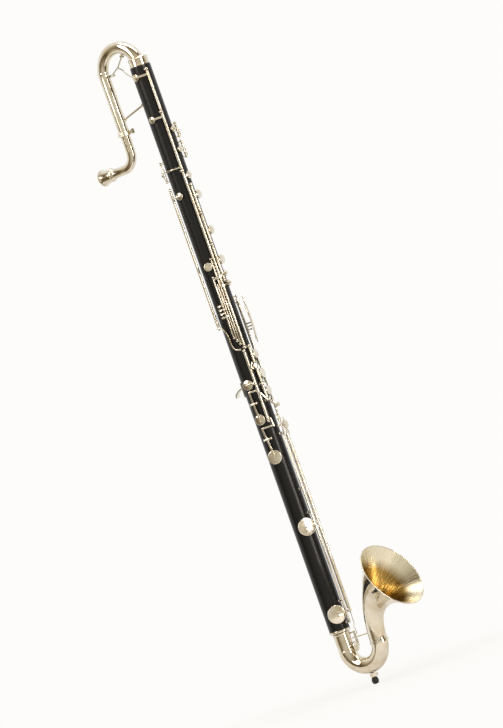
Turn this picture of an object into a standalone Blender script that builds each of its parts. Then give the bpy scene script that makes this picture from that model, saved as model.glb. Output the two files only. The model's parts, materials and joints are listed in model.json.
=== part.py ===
# Contra-alto clarinet, straight model: a grenadilla body tube with nickel-silver keywork, a crook that
# doubles back to the player, and an upturned metal bell on a bow.
# Metres, +Z up. The origin is the foot of the floor peg, under the lowest point of the bow.
# The player stands at +Y, the bell faces -Y, and the player's right hand is on the -X side.
# Inside the body frame, "angle" is the direction round the body axis in degrees (270 is the front),
# "reach" is the distance from the body axis, and "down" is the distance below the body's top end.

import math

import bmesh
import bpy
from mathutils import Matrix, Vector

MM = 0.001

# Body
BODY_LENGTH = 1130 * MM
BODY_RADIUS = 20.0 * MM
BORE_RADIUS = 11.5 * MM
BODY_FOOT_HEIGHT = 112 * MM
DRAWN_LENGTH = 1130 * MM  # the body length that the key stations below are given for
GAP = 0.3 * MM

# Neck: a crook over the top, then a mouthpipe with the mouthpiece socket
CROOK_BEND = 44 * MM
CROOK_RISE = 4 * MM
CROOK_RADIUS = 13.0 * MM
CROOK_END_RADIUS = 10.6 * MM
CROOK_LEG_END = 113 * MM
TUBE_WALL = 1.2 * MM
COLLAR_RADIUS = 19.3 * MM
COLLAR_HEIGHT = 17 * MM
COLLAR_SPIGOT = 16.8 * MM
CORK_LENGTH = 12 * MM
CORK_THICKNESS = 1.4 * MM
MOUTHPIPE_BEND = 28 * MM
MOUTHPIPE_DROP = 145 * MM
MOUTHPIPE_OVERLAP = 20 * MM
SOCKET_REACH = 172 * MM
SOCKET_LENGTH = 22 * MM
SOCKET_RADIUS = 16.3 * MM
SOCKET_BORE = 11.0 * MM

# Bow and bell
BOW_BEND = 39.4 * MM
BOW_STRAIGHT = 35 * MM
BOW_RADIUS = 16.2 * MM
BOW_TENON = 20 * MM
BELL_RIM_RADIUS = 69.5 * MM
BELL_THROAT_RADIUS = 17.2 * MM
BELL_RIM_FORWARD = 158 * MM
BELL_RIM_DOWN = -74 * MM  # the rim's middle is this far above the body's foot
BELL_TILT = 64.0
BELL_FLARE = 2.7
BELL_START_CONTROL = 63 * MM
BELL_END_CONTROL = 55 * MM
JOINT_RING_HEIGHT = 5 * MM

# Floor peg
PEG_RADIUS = 3.6 * MM
PEG_TIP_RADIUS = 7.0 * MM
PEG_FOOT_RADIUS = 3.2 * MM
PEG_SOCKET_RADIUS = 6.6 * MM
PEG_SOCKET_LENGTH = 7.6 * MM

# Keywork
ROD_STANDOFF = 6.0 * MM
ROD_RADIUS = 2.8 * MM
THIN_ROD = 1.6 * MM
BALL_MARGIN = 0.35 * MM
STEM_RADIUS = 1.5 * MM
ARM_WIDTH = 4.0 * MM
ARM_THICKNESS = 1.5 * MM
TOUCH_THICKNESS = 1.5 * MM
RIM_HEIGHT = 1.0 * MM
RIM_WALL = 1.3 * MM
PAD_THICKNESS = 2.2 * MM
CUP_WALL = 1.0 * MM
CUP_LIFT = 2.8 * MM
POST_SUNK = 1.2 * MM
ROCKER_TUBE = 2.0 * MM
GUIDE_STATIONS = (849, 897, 1073)
GRID = 20  # sides of the body tube and its rings
TUBE_SIDES = 12
ROD_SIDES = 6
BELL_SIDES = 20

ROD_REACH = BODY_RADIUS + ROD_STANDOFF
PAD_FLOOR = BODY_RADIUS + RIM_HEIGHT + GAP
CUP_CEILING = PAD_FLOOR + PAD_THICKNESS + GAP
CUP_TOP = CUP_CEILING + CUP_WALL
BODY_TOP = BODY_FOOT_HEIGHT + BODY_LENGTH

# Every key. rod is (angle, top, bottom, radius); cup is (angle, station, diameter); a touch is
# (angle, station, reach, width round the body, length along it); arm waypoints are (angle, reach, station).
# Reaches are given above the body's surface and stations are mm below the body's top.
KEYS = {
    "register_upper_key": {
        "rod": (238, 14, 91.8, 2.8), "cup": (176, 20, 14), "vent": 2.0,
        "arms": [[(176, 5.0, 20), (150, 6.5, 12), (118, 11.0, 4), (97, 18.5, -3)]],
    },
    "register_lower_key": {
        "rod": (238, 98.6, 209.8, 2.8), "cup": (185, 105, 13), "vent": 2.0,
        "arms": [[(238, 6.0, 206), (205, 7.0, 206), (166, 6.6, 206)]],
    },
    "thumb_key": {
        "rod": (132, 190, 221, 2.0), "touches": [(104, 208, 10.5, 11, 13)],
        "arms": [[(132, 6.0, 208), (118, 9.4, 208), (104, 10.4, 208)],
                 [(132, 6.0, 200), (146, 8.0, 200), (160, 8.0, 202)]],
    },
    "throat_a_key": {
        "rod": (302, 126, 146, 2.2), "cup": (276, 133, 13), "touches": [(326, 141, 9.5, 10, 15)],
        "arms": [[(302, 6.0, 141), (314, 9.0, 141), (326, 9.4, 141)]],
    },
    "throat_gsharp_key": {
        "rod": (302, 162, 186, 2.2), "cup": (276, 173, 14), "touches": [(326, 180, 9.5, 10, 16)],
        "arms": [[(302, 6.0, 180), (314, 9.0, 180), (326, 9.4, 180)]],
    },
    "bridge_key": {
        "rod": (140, 244, 512, 2.8), "cup": (187, 257, 14),
        "arms": [[(140, 6.0, 508), (158, 6.4, 514), (176, 5.2, 524), (184, 4.4, 536), (185, 4.4, 552),
                  (194, 5.0, 562), (208, 6.0, 565.5), (217, 6.6, 566)]],
    },
    "side_key_1": {
        "rod": (226.5, 390, 554, 1.6), "cup": (204.5, 400, 16), "open": True, "lift": 1.7,
        "touches": [(196, 499.5, 11.8, 6.4, 4.8)],
        "arms": [[(226.5, 6.0, 499.5), (217, 10.4, 499.5), (206, 11.8, 499.5), (196, 11.7, 499.5)]],
    },
    "side_key_2": {
        "rod": (208.5, 424, 540, 1.6), "cup": (284, 420, 13), "over": 11.0, "cup_arm": 426,
        "touches": [(196, 492, 11.8, 6.4, 4.8)],
        "arms": [[(208.5, 6.0, 492), (204, 10.4, 492), (196, 11.7, 492)]],
    },
    "side_key_3": {
        "rod": (217.5, 440, 547, 1.6), "cup": (284, 440, 13), "over": 11.0, "cup_arm": 443,
        "touches": [(196, 484.5, 11.8, 6.4, 4.8)],
        "arms": [[(217.5, 6.0, 484.5), (209, 10.8, 484.5), (196, 11.7, 484.5)]],
    },
    "side_key_4": {
        "rod": (238, 216.6, 561, 2.8), "cup": (268, 224, 14), "touches": [(196, 477, 11.8, 6.4, 4.8)],
        "arms": [[(238, 6.0, 477), (228, 10.6, 477), (210, 11.9, 477), (196, 11.7, 477)]],
    },
    "left_hand_key_1": {"rod": (254, 246, 296, 2.8), "cup": (284, 264, 17), "open": True},
    "left_hand_key_2": {"rod": (254, 302.8, 358, 2.8), "cup": (284, 335, 17), "open": True},
    "left_hand_key_3": {"rod": (254, 364.8, 430, 2.8), "cup": (284, 394, 18), "open": True},
    "left_little_key_1": {
        "rod": (312, 470, 672, 1.6), "cup": (352, 664, 17), "blade": (286, 466, 564, 17.5, 8.5),
        "arms": [[(312, 6.0, 524), (303, 12.0, 524), (286, 17.3, 524)]],
    },
    "left_little_key_2": {
        "rod": (322, 476, 636, 1.6), "cup": (352, 628, 17), "blade": (298, 478, 562, 15.5, 8.0),
        "arms": [[(322, 6.0, 530), (312, 10.6, 530), (298, 15.3, 530)]],
    },
    "left_little_key_3": {
        "rod": (332, 482, 600, 1.6), "cup": (354, 592, 16), "blade": (310, 490, 558, 13.5, 8.0),
        "arms": [[(332, 6.0, 536), (322, 10.0, 536), (310, 13.3, 536)]],
    },
    "right_hand_key_1": {"rod": (258, 568, 597, 2.8), "cup": (288, 582, 18), "open": True},
    "right_hand_key_2": {"rod": (258, 603.8, 636, 2.8), "cup": (288, 620, 18), "open": True},
    "right_hand_key_3": {"rod": (258, 642.8, 668, 2.8), "cup": (288, 655, 18), "open": True},
    "f_key": {
        "rod": (229, 574, 706, 2.8), "cup": (194, 634, 19.5), "touches": [(244, 603, 11.0, 14, 14)],
        "arms": [[(229, 6.0, 603), (236, 10.0, 603), (244, 10.9, 603)],
                 [(229, 6.0, 702), (238, 9.0, 708), (241, 9.4, 722)]],
    },
    "g_sharp_key": {
        "rod": (304, 676, 702, 2.0), "touches": [(286, 686, 15.5, 13, 9)],
        "arms": [[(304, 6.0, 690), (298, 11.0, 688), (286, 15.3, 686)],
                 [(286, 15.3, 686), (268, 13.4, 683), (250, 13.0, 672), (232, 12.8, 656), (218, 10.4, 648)]],
    },
    "low_f_key": {
        "rod": (285, 744, 925, 3.65), "rod_standoff": 12.5, "cup": (230, 921, 34), "open": True,
        "bore": 2.1, "cup_arm": 917, "hole": 10.0, "touches": [(276, 719, 17.0, 10, 15)],
        "arms": [[(285, 12.5, 747), (281, 17.5, 744), (277, 17.4, 730), (276, 16.9, 719)]],
    },
    "low_e_key": {
        "rod": (272, 742, 1112, 2.1), "rod_standoff": 8.0, "cup": (225, 1095, 35), "open": True,
        "cup_arm": 1092, "hole": 10.0, "touches": [(262, 712, 14.0, 10, 15)],
        "arms": [[(272, 8.0, 745), (267, 12.0, 741), (263, 14.2, 728), (262, 13.9, 712)]],
    },
    "low_e_flat_key": {
        "rod": (285, 929, 1091, 3.65), "rod_standoff": 12.5, "core": (729, 1.7), "open": True,
        "touches": [(292, 726, 17.6, 9, 14)],
        "arms": [[(285, 12.5, 734), (289, 16.5, 731), (292, 17.5, 727)],
                 [(285, 12.5, 1079), (295, 12.5, 1086), (299, 10.5, 1100), (299, 9.5, 1124)]],
    },
}

# Rocking levers lie along the body and tip on a tube that runs round it
ROCKERS = {
    "g_sharp_lever": {"cup": (194, 703, 20.5), "bar": (648, 189, 217), "pivot": (671, 177, 206)},
    "f_sharp_lever": {"cup": (201, 778, 27), "bar": (720, 191, 241), "pivot": (742, 183, 215)},
}

# Keys whose pad is a node of its own
SPLIT_PADS = {"f_key", "low_f_key", "low_e_key", "g_sharp_lever", "f_sharp_lever", "side_key_1"}

# The lowest key, on the front of the bow: its hinge (angle, reach) and the size of its hole and cup
BOW_KEY_ROD = (307, 24.0 * MM)
BOW_KEY_DROP = 33 * MM
BOW_RIM_HEIGHT = 2.6 * MM
BOW_ROD_RADIUS = 2.2 * MM
BOW_HOLE_RADIUS = 6.5 * MM
BOW_CUP_RADIUS = 10.0 * MM

NICKEL = ("nickel_plate", (0.80, 0.77, 0.70), 0.22, 1.0)
WOOD = ("grenadilla", (0.020, 0.019, 0.021), 0.35, 0.0)
STEEL = ("blued_steel", (0.34, 0.35, 0.38), 0.35, 1.0)
CORK = ("cork", (0.62, 0.43, 0.27), 0.9, 0.0)
LEATHER = ("pad_leather", (0.80, 0.74, 0.62), 0.7, 0.0)
RUBBER = ("rubber", (0.03, 0.03, 0.03), 0.8, 0.0)


def station(down_mm):
    """Height of a key station given in mm below the top of the drawn body."""
    return BODY_TOP - down_mm * MM * BODY_LENGTH / DRAWN_LENGTH


def around(angle, reach, height):
    """Point at a direction round the body axis."""
    turn = math.radians(angle)
    return Vector((reach * math.cos(turn), reach * math.sin(turn), height))


def facing(angle, height):
    """Frame whose z points out from the body, y up it, and x round it."""
    turn = math.radians(angle)
    frame = Matrix(((-math.sin(turn), 0, math.cos(turn), 0),
                    (math.cos(turn), 0, math.sin(turn), 0),
                    (0, 1, 0, height),
                    (0, 0, 0, 1)))
    return frame


def new_object(name, mesh, finish=None, parent=None):
    obj = bpy.data.objects.new(name, mesh)
    bpy.context.scene.collection.objects.link(obj)
    if finish:
        obj.data.materials.append(material(finish))
    obj.parent = parent
    return obj


def material(finish):
    """The Principled material of this name, made once."""
    name, colour, roughness, metallic = finish
    found = bpy.data.materials.get(name)
    if found:
        return found
    made = bpy.data.materials.new(name)
    made.use_nodes = True
    shader = made.node_tree.nodes["Principled BSDF"]
    shader.inputs["Base Color"].default_value = (*colour, 1.0)
    shader.inputs["Roughness"].default_value = roughness
    shader.inputs["Metallic"].default_value = metallic
    made.diffuse_color = (*colour, 1.0)
    return made


def mesh_of(bm):
    """A mesh of one closed shape, with its faces pointing out."""
    bmesh.ops.recalc_face_normals(bm, faces=bm.faces)
    mesh = bpy.data.meshes.new("shape")
    bm.to_mesh(mesh)
    bm.free()
    return mesh


def bridge_rings(bm, rings, closed=False):
    """Quads between rings of vertices; a ring of one vertex is a pole."""
    pairs = list(zip(rings, rings[1:]))
    if closed:
        pairs.append((rings[-1], rings[0]))
    for low, high in pairs:
        count = max(len(low), len(high))
        for i in range(count):
            corners = [low[i % len(low)], low[(i + 1) % len(low)],
                       high[(i + 1) % len(high)], high[i % len(high)]]
            corners = [v for k, v in enumerate(corners) if v not in corners[:k]]
            if len(corners) > 2:
                bm.faces.new(corners)


def turned(profile, sides, frame=None, closed=False):
    """Solid of revolution round z. profile is (radius, height); a radius of 0 is a pole.
    A closed profile makes a ring."""
    bm = bmesh.new()
    rings = []
    for radius, height in profile:
        if radius == 0:
            rings.append([bm.verts.new((0, 0, height))])
            continue
        rings.append([bm.verts.new((radius * math.cos(math.tau * i / sides),
                                    radius * math.sin(math.tau * i / sides), height))
                      for i in range(sides)])
    bridge_rings(bm, rings, closed)
    if frame:
        bm.transform(frame)
    return mesh_of(bm)


def ring(outer, inner, low, high, sides, frame=None):
    """Plain ring of square section."""
    return turned([(outer, low), (outer, high), (inner, high), (inner, low)], sides, frame, closed=True)


def rod(radius, low, high, sides, frame=None):
    """Plain cylinder along z."""
    return turned([(0, low), (radius, low), (radius, high), (0, high)], sides, frame)


def along(start, end):
    """Frame at start whose z points to end."""
    spin = (end - start).to_track_quat("Z", "X")
    return Matrix.Translation(start) @ spin.to_matrix().to_4x4()


def pin(start, end, radius, sides):
    """Cylinder between two points."""
    return rod(radius, 0, (end - start).length, sides, along(start, end))


def bar(points, width, thickness, side=Vector((0, 0, 1))):
    """Flat bar through the points, its width towards side."""
    bm = bmesh.new()
    rings = []
    for i, point in enumerate(points):
        ahead = points[min(i + 1, len(points) - 1)] - points[max(i - 1, 0)]
        ahead.normalize()
        up = ahead.cross(side).normalized()
        across = up.cross(ahead).normalized()
        rings.append([bm.verts.new(point + across * (a * width / 2) + up * (b * thickness / 2))
                      for a, b in ((-1, -1), (1, -1), (1, 1), (-1, 1))])
    bridge_rings(bm, rings)
    bm.faces.new(rings[0])
    bm.faces.new(rings[-1])
    return mesh_of(bm)


def pipe(centres, forwards, outer, inner, sides, side=Vector((1, 0, 0))):
    """Hollow tube along centres lying in one plane square to side, open at both ends.
    outer and inner are the radii at each centre."""
    bm = bmesh.new()
    skins = []
    for radii in (outer, inner):
        rings = []
        for centre, forward, radius in zip(centres, forwards, radii):
            across = side.cross(forward).normalized()
            rings.append([bm.verts.new(centre + side * (radius * math.cos(math.tau * i / sides))
                                       + across * (radius * math.sin(math.tau * i / sides)))
                          for i in range(sides)])
        skins.append(rings)
    bridge_rings(bm, skins[0] + skins[1][::-1], closed=True)
    return mesh_of(bm)


def combined(shapes, operation):
    """One mesh made of the shapes by Boolean steps; the shapes' own meshes are used up. Where the exact
    solver leaves an open edge, the steps are run again with the other one."""
    first, *others = shapes
    target = new_object("base", first)
    tools = []
    for shape in others:
        tool = new_object("tool", shape)
        tool.hide_render = True
        tool.display_type = "WIRE"
        step = target.modifiers.new("step", "BOOLEAN")
        step.operation = operation
        step.object = tool
        tools.append(tool)
    for solver in ("EXACT", "MANIFOLD"):
        for step in target.modifiers:
            step.solver = solver
        bpy.context.view_layer.update()
        seen = target.evaluated_get(bpy.context.evaluated_depsgraph_get())
        result = bpy.data.meshes.new_from_object(seen)
        if is_closed(result):
            break
    for obj in [target, *tools]:
        bpy.data.objects.remove(obj)
    return result


def is_closed(mesh):
    """True where every edge lies between two faces."""
    bm = bmesh.new()
    bm.from_mesh(mesh)
    closed = all(len(edge.link_faces) == 2 for edge in bm.edges)
    bm.free()
    return closed


def place(name, mesh, finish, parent, origin=None):
    """Named object on the body frame, its origin on its joint's axis."""
    if origin is not None:
        mesh.transform(Matrix.Translation(-origin))
    obj = new_object(name, mesh, finish, parent)
    if origin is not None:
        obj.location = origin
    mesh.shade_smooth()
    mesh.set_sharp_from_angle(angle=math.radians(40))
    return obj


def arc(centre, radius, start, end, steps):
    """Points and directions on an arc in the y-z plane; angles in degrees from +y towards +z."""
    points = []
    ahead = []
    sense = 1 if end > start else -1
    for i in range(steps + 1):
        turn = math.radians(start + (end - start) * i / steps)
        points.append(centre + Vector((0, radius * math.cos(turn), radius * math.sin(turn))))
        ahead.append(Vector((0, -math.sin(turn), math.cos(turn))) * sense)
    return points, ahead


def chimney(angle, height, hole):
    """Raised tone-hole rim and the drill that opens it."""
    frame = facing(angle, height)
    steps = 12 if hole > 6 * MM else 8
    sunk = math.sqrt(max(BODY_RADIUS ** 2 - (hole + RIM_WALL) ** 2, BORE_RADIUS ** 2)) - 1.5 * MM
    rim = rod(hole + RIM_WALL, sunk, BODY_RADIUS + RIM_HEIGHT, steps, frame)
    drill = rod(hole, 0.3 * BORE_RADIUS, BODY_RADIUS + 3 * RIM_HEIGHT, steps, frame)
    return rim, drill


def hole_radius(key, diameter_mm):
    """Tone-hole radius under a cup, in metres; a vent states its own."""
    if "vent" in key:
        return key["vent"] * MM
    return key.get("hole", diameter_mm * 0.5 - 3.0) * MM


def body_tube(parent):
    """The wooden tube: bore, counterbores for the two tenons, a rimmed hole under every cup, and the
    pillars that are screwed into it."""
    top_bore = COLLAR_SPIGOT + GAP
    foot_bore = BOW_RADIUS - 2.4 * MM + GAP
    profile = [(BODY_RADIUS, BODY_FOOT_HEIGHT), (BODY_RADIUS, BODY_TOP),
               (top_bore, BODY_TOP), (top_bore, BODY_TOP - CORK_LENGTH),
               (BORE_RADIUS, BODY_TOP - CORK_LENGTH), (BORE_RADIUS, BODY_FOOT_HEIGHT + BOW_TENON),
               (foot_bore, BODY_FOOT_HEIGHT + BOW_TENON), (foot_bore, BODY_FOOT_HEIGHT)]
    tube = turned(profile, GRID, closed=True)
    rims = []
    drills = []
    for key in [*KEYS.values(), *ROCKERS.values()]:
        if "cup" in key:
            angle, down, diameter = key["cup"]
            rim, drill = chimney(angle, station(down), hole_radius(key, diameter))
            rims.append(rim)
            drills.append(drill)
    with_rims = combined([tube, *rims, *posts_and_pivots()], "UNION")
    clear_bore = rod(BORE_RADIUS, BODY_FOOT_HEIGHT - GAP, BODY_TOP + GAP, GRID)
    place("body_tube", combined([with_rims, clear_bore, *drills], "DIFFERENCE"), WOOD, parent)


def cup_and_pad(angle, height, diameter_mm, loose):
    """Key cup and its pad. A loose pad keeps clear of the cup's hollow and is a piece of its own; any
    other is glued in and is one solid with the cup."""
    radius = diameter_mm * MM / 2
    sides = 16 if diameter_mm > 25 else 10
    frame = facing(angle, height)
    hollow = radius - CUP_WALL
    skirt = PAD_FLOOR + PAD_THICKNESS * 0.35
    dome = [(radius, skirt), (radius, CUP_TOP - 0.5 * MM), (radius * 0.72, CUP_TOP + 0.2 * MM),
            (0, CUP_TOP + 0.4 * MM)]
    if loose:
        cup = turned([(0, CUP_CEILING), (hollow, CUP_CEILING), (hollow, skirt), *dome], sides, frame)
        return cup, rod(hollow - GAP, PAD_FLOOR, CUP_CEILING - GAP, sides, frame)
    pad_edge = hollow - GAP
    return turned([(0, PAD_FLOOR), (pad_edge, PAD_FLOOR), (pad_edge, skirt), *dome], sides, frame), None


def arm_points(waypoints):
    """Waypoints (angle, reach above the body in mm, station) as points."""
    return [around(angle, BODY_RADIUS + reach * MM, station(down)) for angle, reach, down in waypoints]


def cup_arm(rod_angle, rod_reach, arm_height, cup, over=None):
    """Arm from the hinge tube over the cup's edge to its middle."""
    angle, down, diameter = cup
    height = station(down)
    radius = diameter * MM / 2
    side = math.sin(math.radians(rod_angle - angle))
    frame = facing(angle, 0)
    start = around(rod_angle, rod_reach, arm_height)
    end = frame @ Vector((0, height, CUP_TOP + 0.3 * MM))
    if over is None:
        knee_out = math.copysign(min(radius + 2.0 * MM, abs(side) * rod_reach * 0.8), side)
        knee = frame @ Vector((knee_out, height * 0.6 + arm_height * 0.4, CUP_TOP + 1.0 * MM))
        return [start, knee, end]
    crossing = [around(rod_angle + (angle - rod_angle) * share, BODY_RADIUS + over * MM,
                       arm_height + (height - arm_height) * share)
                for share in (0.14, 0.38, 0.62, 0.84)]
    return [start, *crossing, end]


def blade(angle, top, bottom, reach, width):
    """Long tapered touchpiece for a little finger, rounded at both ends."""
    length = (bottom - top) * MM
    low = station(bottom)
    outline = []
    steps = 7
    for sign, order in ((1, range(steps + 1)), (-1, range(steps - 1, 0, -1))):
        for i in order:
            share = i / steps
            half = width * MM / 2 * math.sin(math.pi * share) ** 0.6 * (1.15 - 0.75 * share)
            bow = 2.5 * MM * math.sin(math.pi * share)
            outline.append(Vector((sign * half, low + length * share, BODY_RADIUS + reach * MM + bow)))
    frame = facing(angle, 0)
    bm = bmesh.new()
    faces = []
    for lift in (0, TOUCH_THICKNESS):
        faces.append([bm.verts.new(frame @ (p + Vector((0, 0, lift)))) for p in outline])
    bridge_rings(bm, faces)
    bm.faces.new(faces[0])
    bm.faces.new(faces[1])
    bmesh.ops.triangulate(bm, faces=[f for f in bm.faces if len(f.verts) > 4])
    return mesh_of(bm)


def touch_plate(angle, down, reach, width, length):
    """Rounded touchpiece."""
    frame = facing(angle, station(down)) @ Matrix.Translation((0, 0, BODY_RADIUS + reach * MM))
    plate = rod(1.0, -TOUCH_THICKNESS / 2, TOUCH_THICKNESS / 2, 10)
    plate.transform(frame @ Matrix.Diagonal((width * MM / 2, length * MM / 2, 1, 1)))
    return plate


def opening_sense(axis_point, cup_angle):
    """+1 if a turn about +Z lifts the cup off its hole, else -1."""
    out = around(cup_angle, 1, 0)
    arm = around(cup_angle, CUP_TOP, 0) - Vector((axis_point.x, axis_point.y, 0))
    return 1 if Vector((0, 0, 1)).cross(arm).dot(out) > 0 else -1


def lift_angle(axis_point, cup_angle, lift=CUP_LIFT):
    """Turn in radians that lifts the cup's middle by that much."""
    arm = around(cup_angle, CUP_TOP, 0) - Vector((axis_point.x, axis_point.y, 0))
    return lift / abs(Vector((0, 0, 1)).cross(arm).dot(around(cup_angle, 1, 0)))


def rod_axis(key):
    """Point on a key's hinge axis, at its lower end."""
    angle, top, bottom, radius = key["rod"]
    reach = BODY_RADIUS + key.get("rod_standoff", ROD_STANDOFF / MM) * MM
    return around(angle, reach, station(bottom))


def open_turn(key):
    """Turn that carries an open-standing key from closed to rest."""
    origin = rod_axis(key)
    angle = key["cup"][0] if "cup" in key else key["rod"][0] - 40
    lift = key.get("lift", CUP_LIFT / MM) * MM
    turn = opening_sense(origin, angle) * lift_angle(origin, angle, lift)
    return Matrix.Translation(origin) @ Matrix.Rotation(turn, 4, "Z") @ Matrix.Translation(-origin)


def key_on_rod(name, key, parent):
    """A key on a hinge tube that runs along the body."""
    angle, top, bottom, radius = key["rod"]
    reach = BODY_RADIUS + key.get("rod_standoff", ROD_STANDOFF / MM) * MM
    spot = Matrix.Translation(around(angle, reach, 0))
    shapes = [rod(radius * MM, station(bottom), station(top), ROD_SIDES, spot)]
    if "core" in key:
        core_top, core_radius = key["core"]
        shapes.append(rod(core_radius * MM, station(top + 3), station(core_top), ROD_SIDES, spot))
    pad = None
    if "cup" in key:
        cup, pad = cup_and_pad(key["cup"][0], station(key["cup"][1]), key["cup"][2], name in SPLIT_PADS)
        arm_at = station(key.get("cup_arm", key["cup"][1]))
        path = cup_arm(angle, reach, arm_at, key["cup"], key.get("over"))
        shapes += [cup, bar(path, ARM_WIDTH, ARM_THICKNESS)]
    for waypoints in key.get("arms", []):
        steep = abs(waypoints[0][2] - waypoints[-1][2]) > 12
        side = around(waypoints[-1][0], 1, 0).cross(Vector((0, 0, 1))) if steep else Vector((0, 0, 1))
        if name == "bridge_key" or (steep and len(waypoints) > 4):
            shapes.append(flat_path(arm_points(waypoints), ARM_WIDTH, ARM_THICKNESS))
        else:
            shapes.append(bar(arm_points(waypoints), ARM_WIDTH * 0.85, ARM_THICKNESS, side))
    for touch in key.get("touches", []):
        shapes.append(touch_plate(*touch))
    if "blade" in key:
        shapes.append(blade(*key["blade"]))
    mesh = combined(shapes, "UNION")
    if "bore" in key:
        drill = rod(key["bore"] * MM, station(bottom) - ROD_RADIUS, station(top) + ROD_RADIUS, ROD_SIDES, spot)
        mesh = combined([mesh, drill], "DIFFERENCE")
    origin = rod_axis(key)
    if key.get("open"):
        mesh.transform(open_turn(key))
        if pad:
            pad.transform(open_turn(key))
    finish_key(name, mesh, pad, parent, origin)


def flat_path(points, width, thickness):
    """Flat bar that lies on the body's round, its thickness pointing out from the axis."""
    bm = bmesh.new()
    rings = []
    for i, point in enumerate(points):
        ahead = (points[min(i + 1, len(points) - 1)] - points[max(i - 1, 0)]).normalized()
        out = Vector((point.x, point.y, 0)).normalized()
        across = out.cross(ahead).normalized()
        up = ahead.cross(across).normalized()
        rings.append([bm.verts.new(point + across * (a * width / 2) + up * (b * thickness / 2))
                      for a, b in ((-1, -1), (1, -1), (1, 1), (-1, 1))])
    bridge_rings(bm, rings)
    bm.faces.new(rings[0])
    bm.faces.new(rings[-1])
    return mesh_of(bm)


def finish_key(name, mesh, pad, parent, origin):
    """Names the key and its pad."""
    if pad:
        place(name.replace("_key", "").replace("_lever", "") + "_pad", pad, LEATHER, parent, origin)
    place(name, mesh, NICKEL, parent, origin)


def rocker(name, lever, parent):
    """A lever along the body that tips on a tube across it."""
    angle, down, diameter = lever["cup"]
    pivot_down = lever["pivot"][0]
    bar_down, bar_from, bar_to = lever["bar"]
    cup, pad = cup_and_pad(angle, station(down), diameter, name in SPLIT_PADS)
    shank_angle = (bar_from + angle) / 2
    over_pivot = ROD_REACH
    shank = flat_path([around(bar_from, over_pivot, station(bar_down)),
                       around(shank_angle, over_pivot, station(pivot_down)),
                       around(angle, CUP_TOP + 0.8 * MM, station(down) + diameter * MM * 0.4),
                       around(angle, CUP_TOP + 0.3 * MM, station(down))], 3.4 * MM, 1.8 * MM)
    steps = 4
    bar_path = [around(bar_from + (bar_to - bar_from) * i / steps, over_pivot, station(bar_down))
                for i in range(steps + 1)]
    cross_bar = bar(bar_path, 3.0 * MM, 1.6 * MM)
    start, end = pivot_ends(lever)
    tube = pin(start, end, ROCKER_TUBE, ROD_SIDES)
    mesh = combined([shank, cross_bar, tube, cup], "UNION")
    finish_key(name, mesh, pad, parent, (start + end) / 2)


def pivot_ends(lever):
    """Ends of a rocker's tube: a straight line just above the body."""
    down, first, last = lever["pivot"]
    middle = (first + last) / 2
    half = ROD_REACH * math.sin(math.radians((last - first) / 2)) - 3.0 * MM
    frame = facing(middle, station(down))
    return frame @ Vector((-half, 0, ROD_REACH)), frame @ Vector((half, 0, ROD_REACH))


def post(angle, height, reach, ball, foot=BODY_RADIUS):
    """Pillar with a ball on top, its foot let into what it stands on."""
    return turned([(0, foot - POST_SUNK), (STEM_RADIUS, foot - POST_SUNK), (STEM_RADIUS, reach - ball * 0.8),
                   (ball, reach - ball * 0.3), (ball * 0.85, reach + ball * 0.6), (0, reach + ball * 0.9)],
                  ROD_SIDES, facing(angle, height))


def posts_and_pivots():
    """Pillars at both ends of every hinge tube."""
    spots = []
    for key in KEYS.values():
        if "bore" in key:
            continue  # it rides on another key's core rod
        angle, top, bottom, radius = key["rod"]
        reach = BODY_RADIUS + key.get("rod_standoff", ROD_STANDOFF / MM) * MM
        ball = radius * MM + BALL_MARGIN
        step = ball + GAP
        for height, side in ((station(top) + step, -1), (station(bottom) - step, 1)):
            if "core" in key and side == -1:
                height = station(key["core"][0]) + step
            spots.append((angle, height, reach, ball))
    shapes = [post(*spot) for spot in merge_spots(spots)]
    for lever in ROCKERS.values():
        start, end = pivot_ends(lever)
        ahead = (end - start).normalized()
        ball = ROCKER_TUBE + BALL_MARGIN
        for tip, out in ((start, -ahead), (end, ahead)):
            centre = tip + out * (ball + GAP)
            shapes.append(post(math.degrees(math.atan2(centre.y, centre.x)), centre.z,
                               math.hypot(centre.x, centre.y), ball))
    return shapes + rod_guides()


def rod_guides():
    """Eyes that steady the long low E rod."""
    shapes = []
    angle = KEYS["low_e_key"]["rod"][0]
    reach = BODY_RADIUS + KEYS["low_e_key"]["rod_standoff"] * MM
    hole = KEYS["low_e_key"]["rod"][3] * MM + GAP
    for down in GUIDE_STATIONS:
        eye = ring(hole + 1.3 * MM, hole, -1.2 * MM, 1.2 * MM, 10,
                   Matrix.Translation(around(angle, reach, station(down))))
        stem = rod(STEM_RADIUS, BODY_RADIUS - POST_SUNK, reach - hole - 0.6 * MM, 8,
                   facing(angle, station(down)))
        shapes += [eye, stem]
    return shapes


def merge_spots(spots):
    """Pillar places, with one pillar where two tubes meet end to end."""
    merged = []
    for spot in spots:
        if not any(other[0] == spot[0] and abs(other[1] - spot[1]) < 2 * GAP for other in merged):
            merged.append(spot)
    return merged


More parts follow.
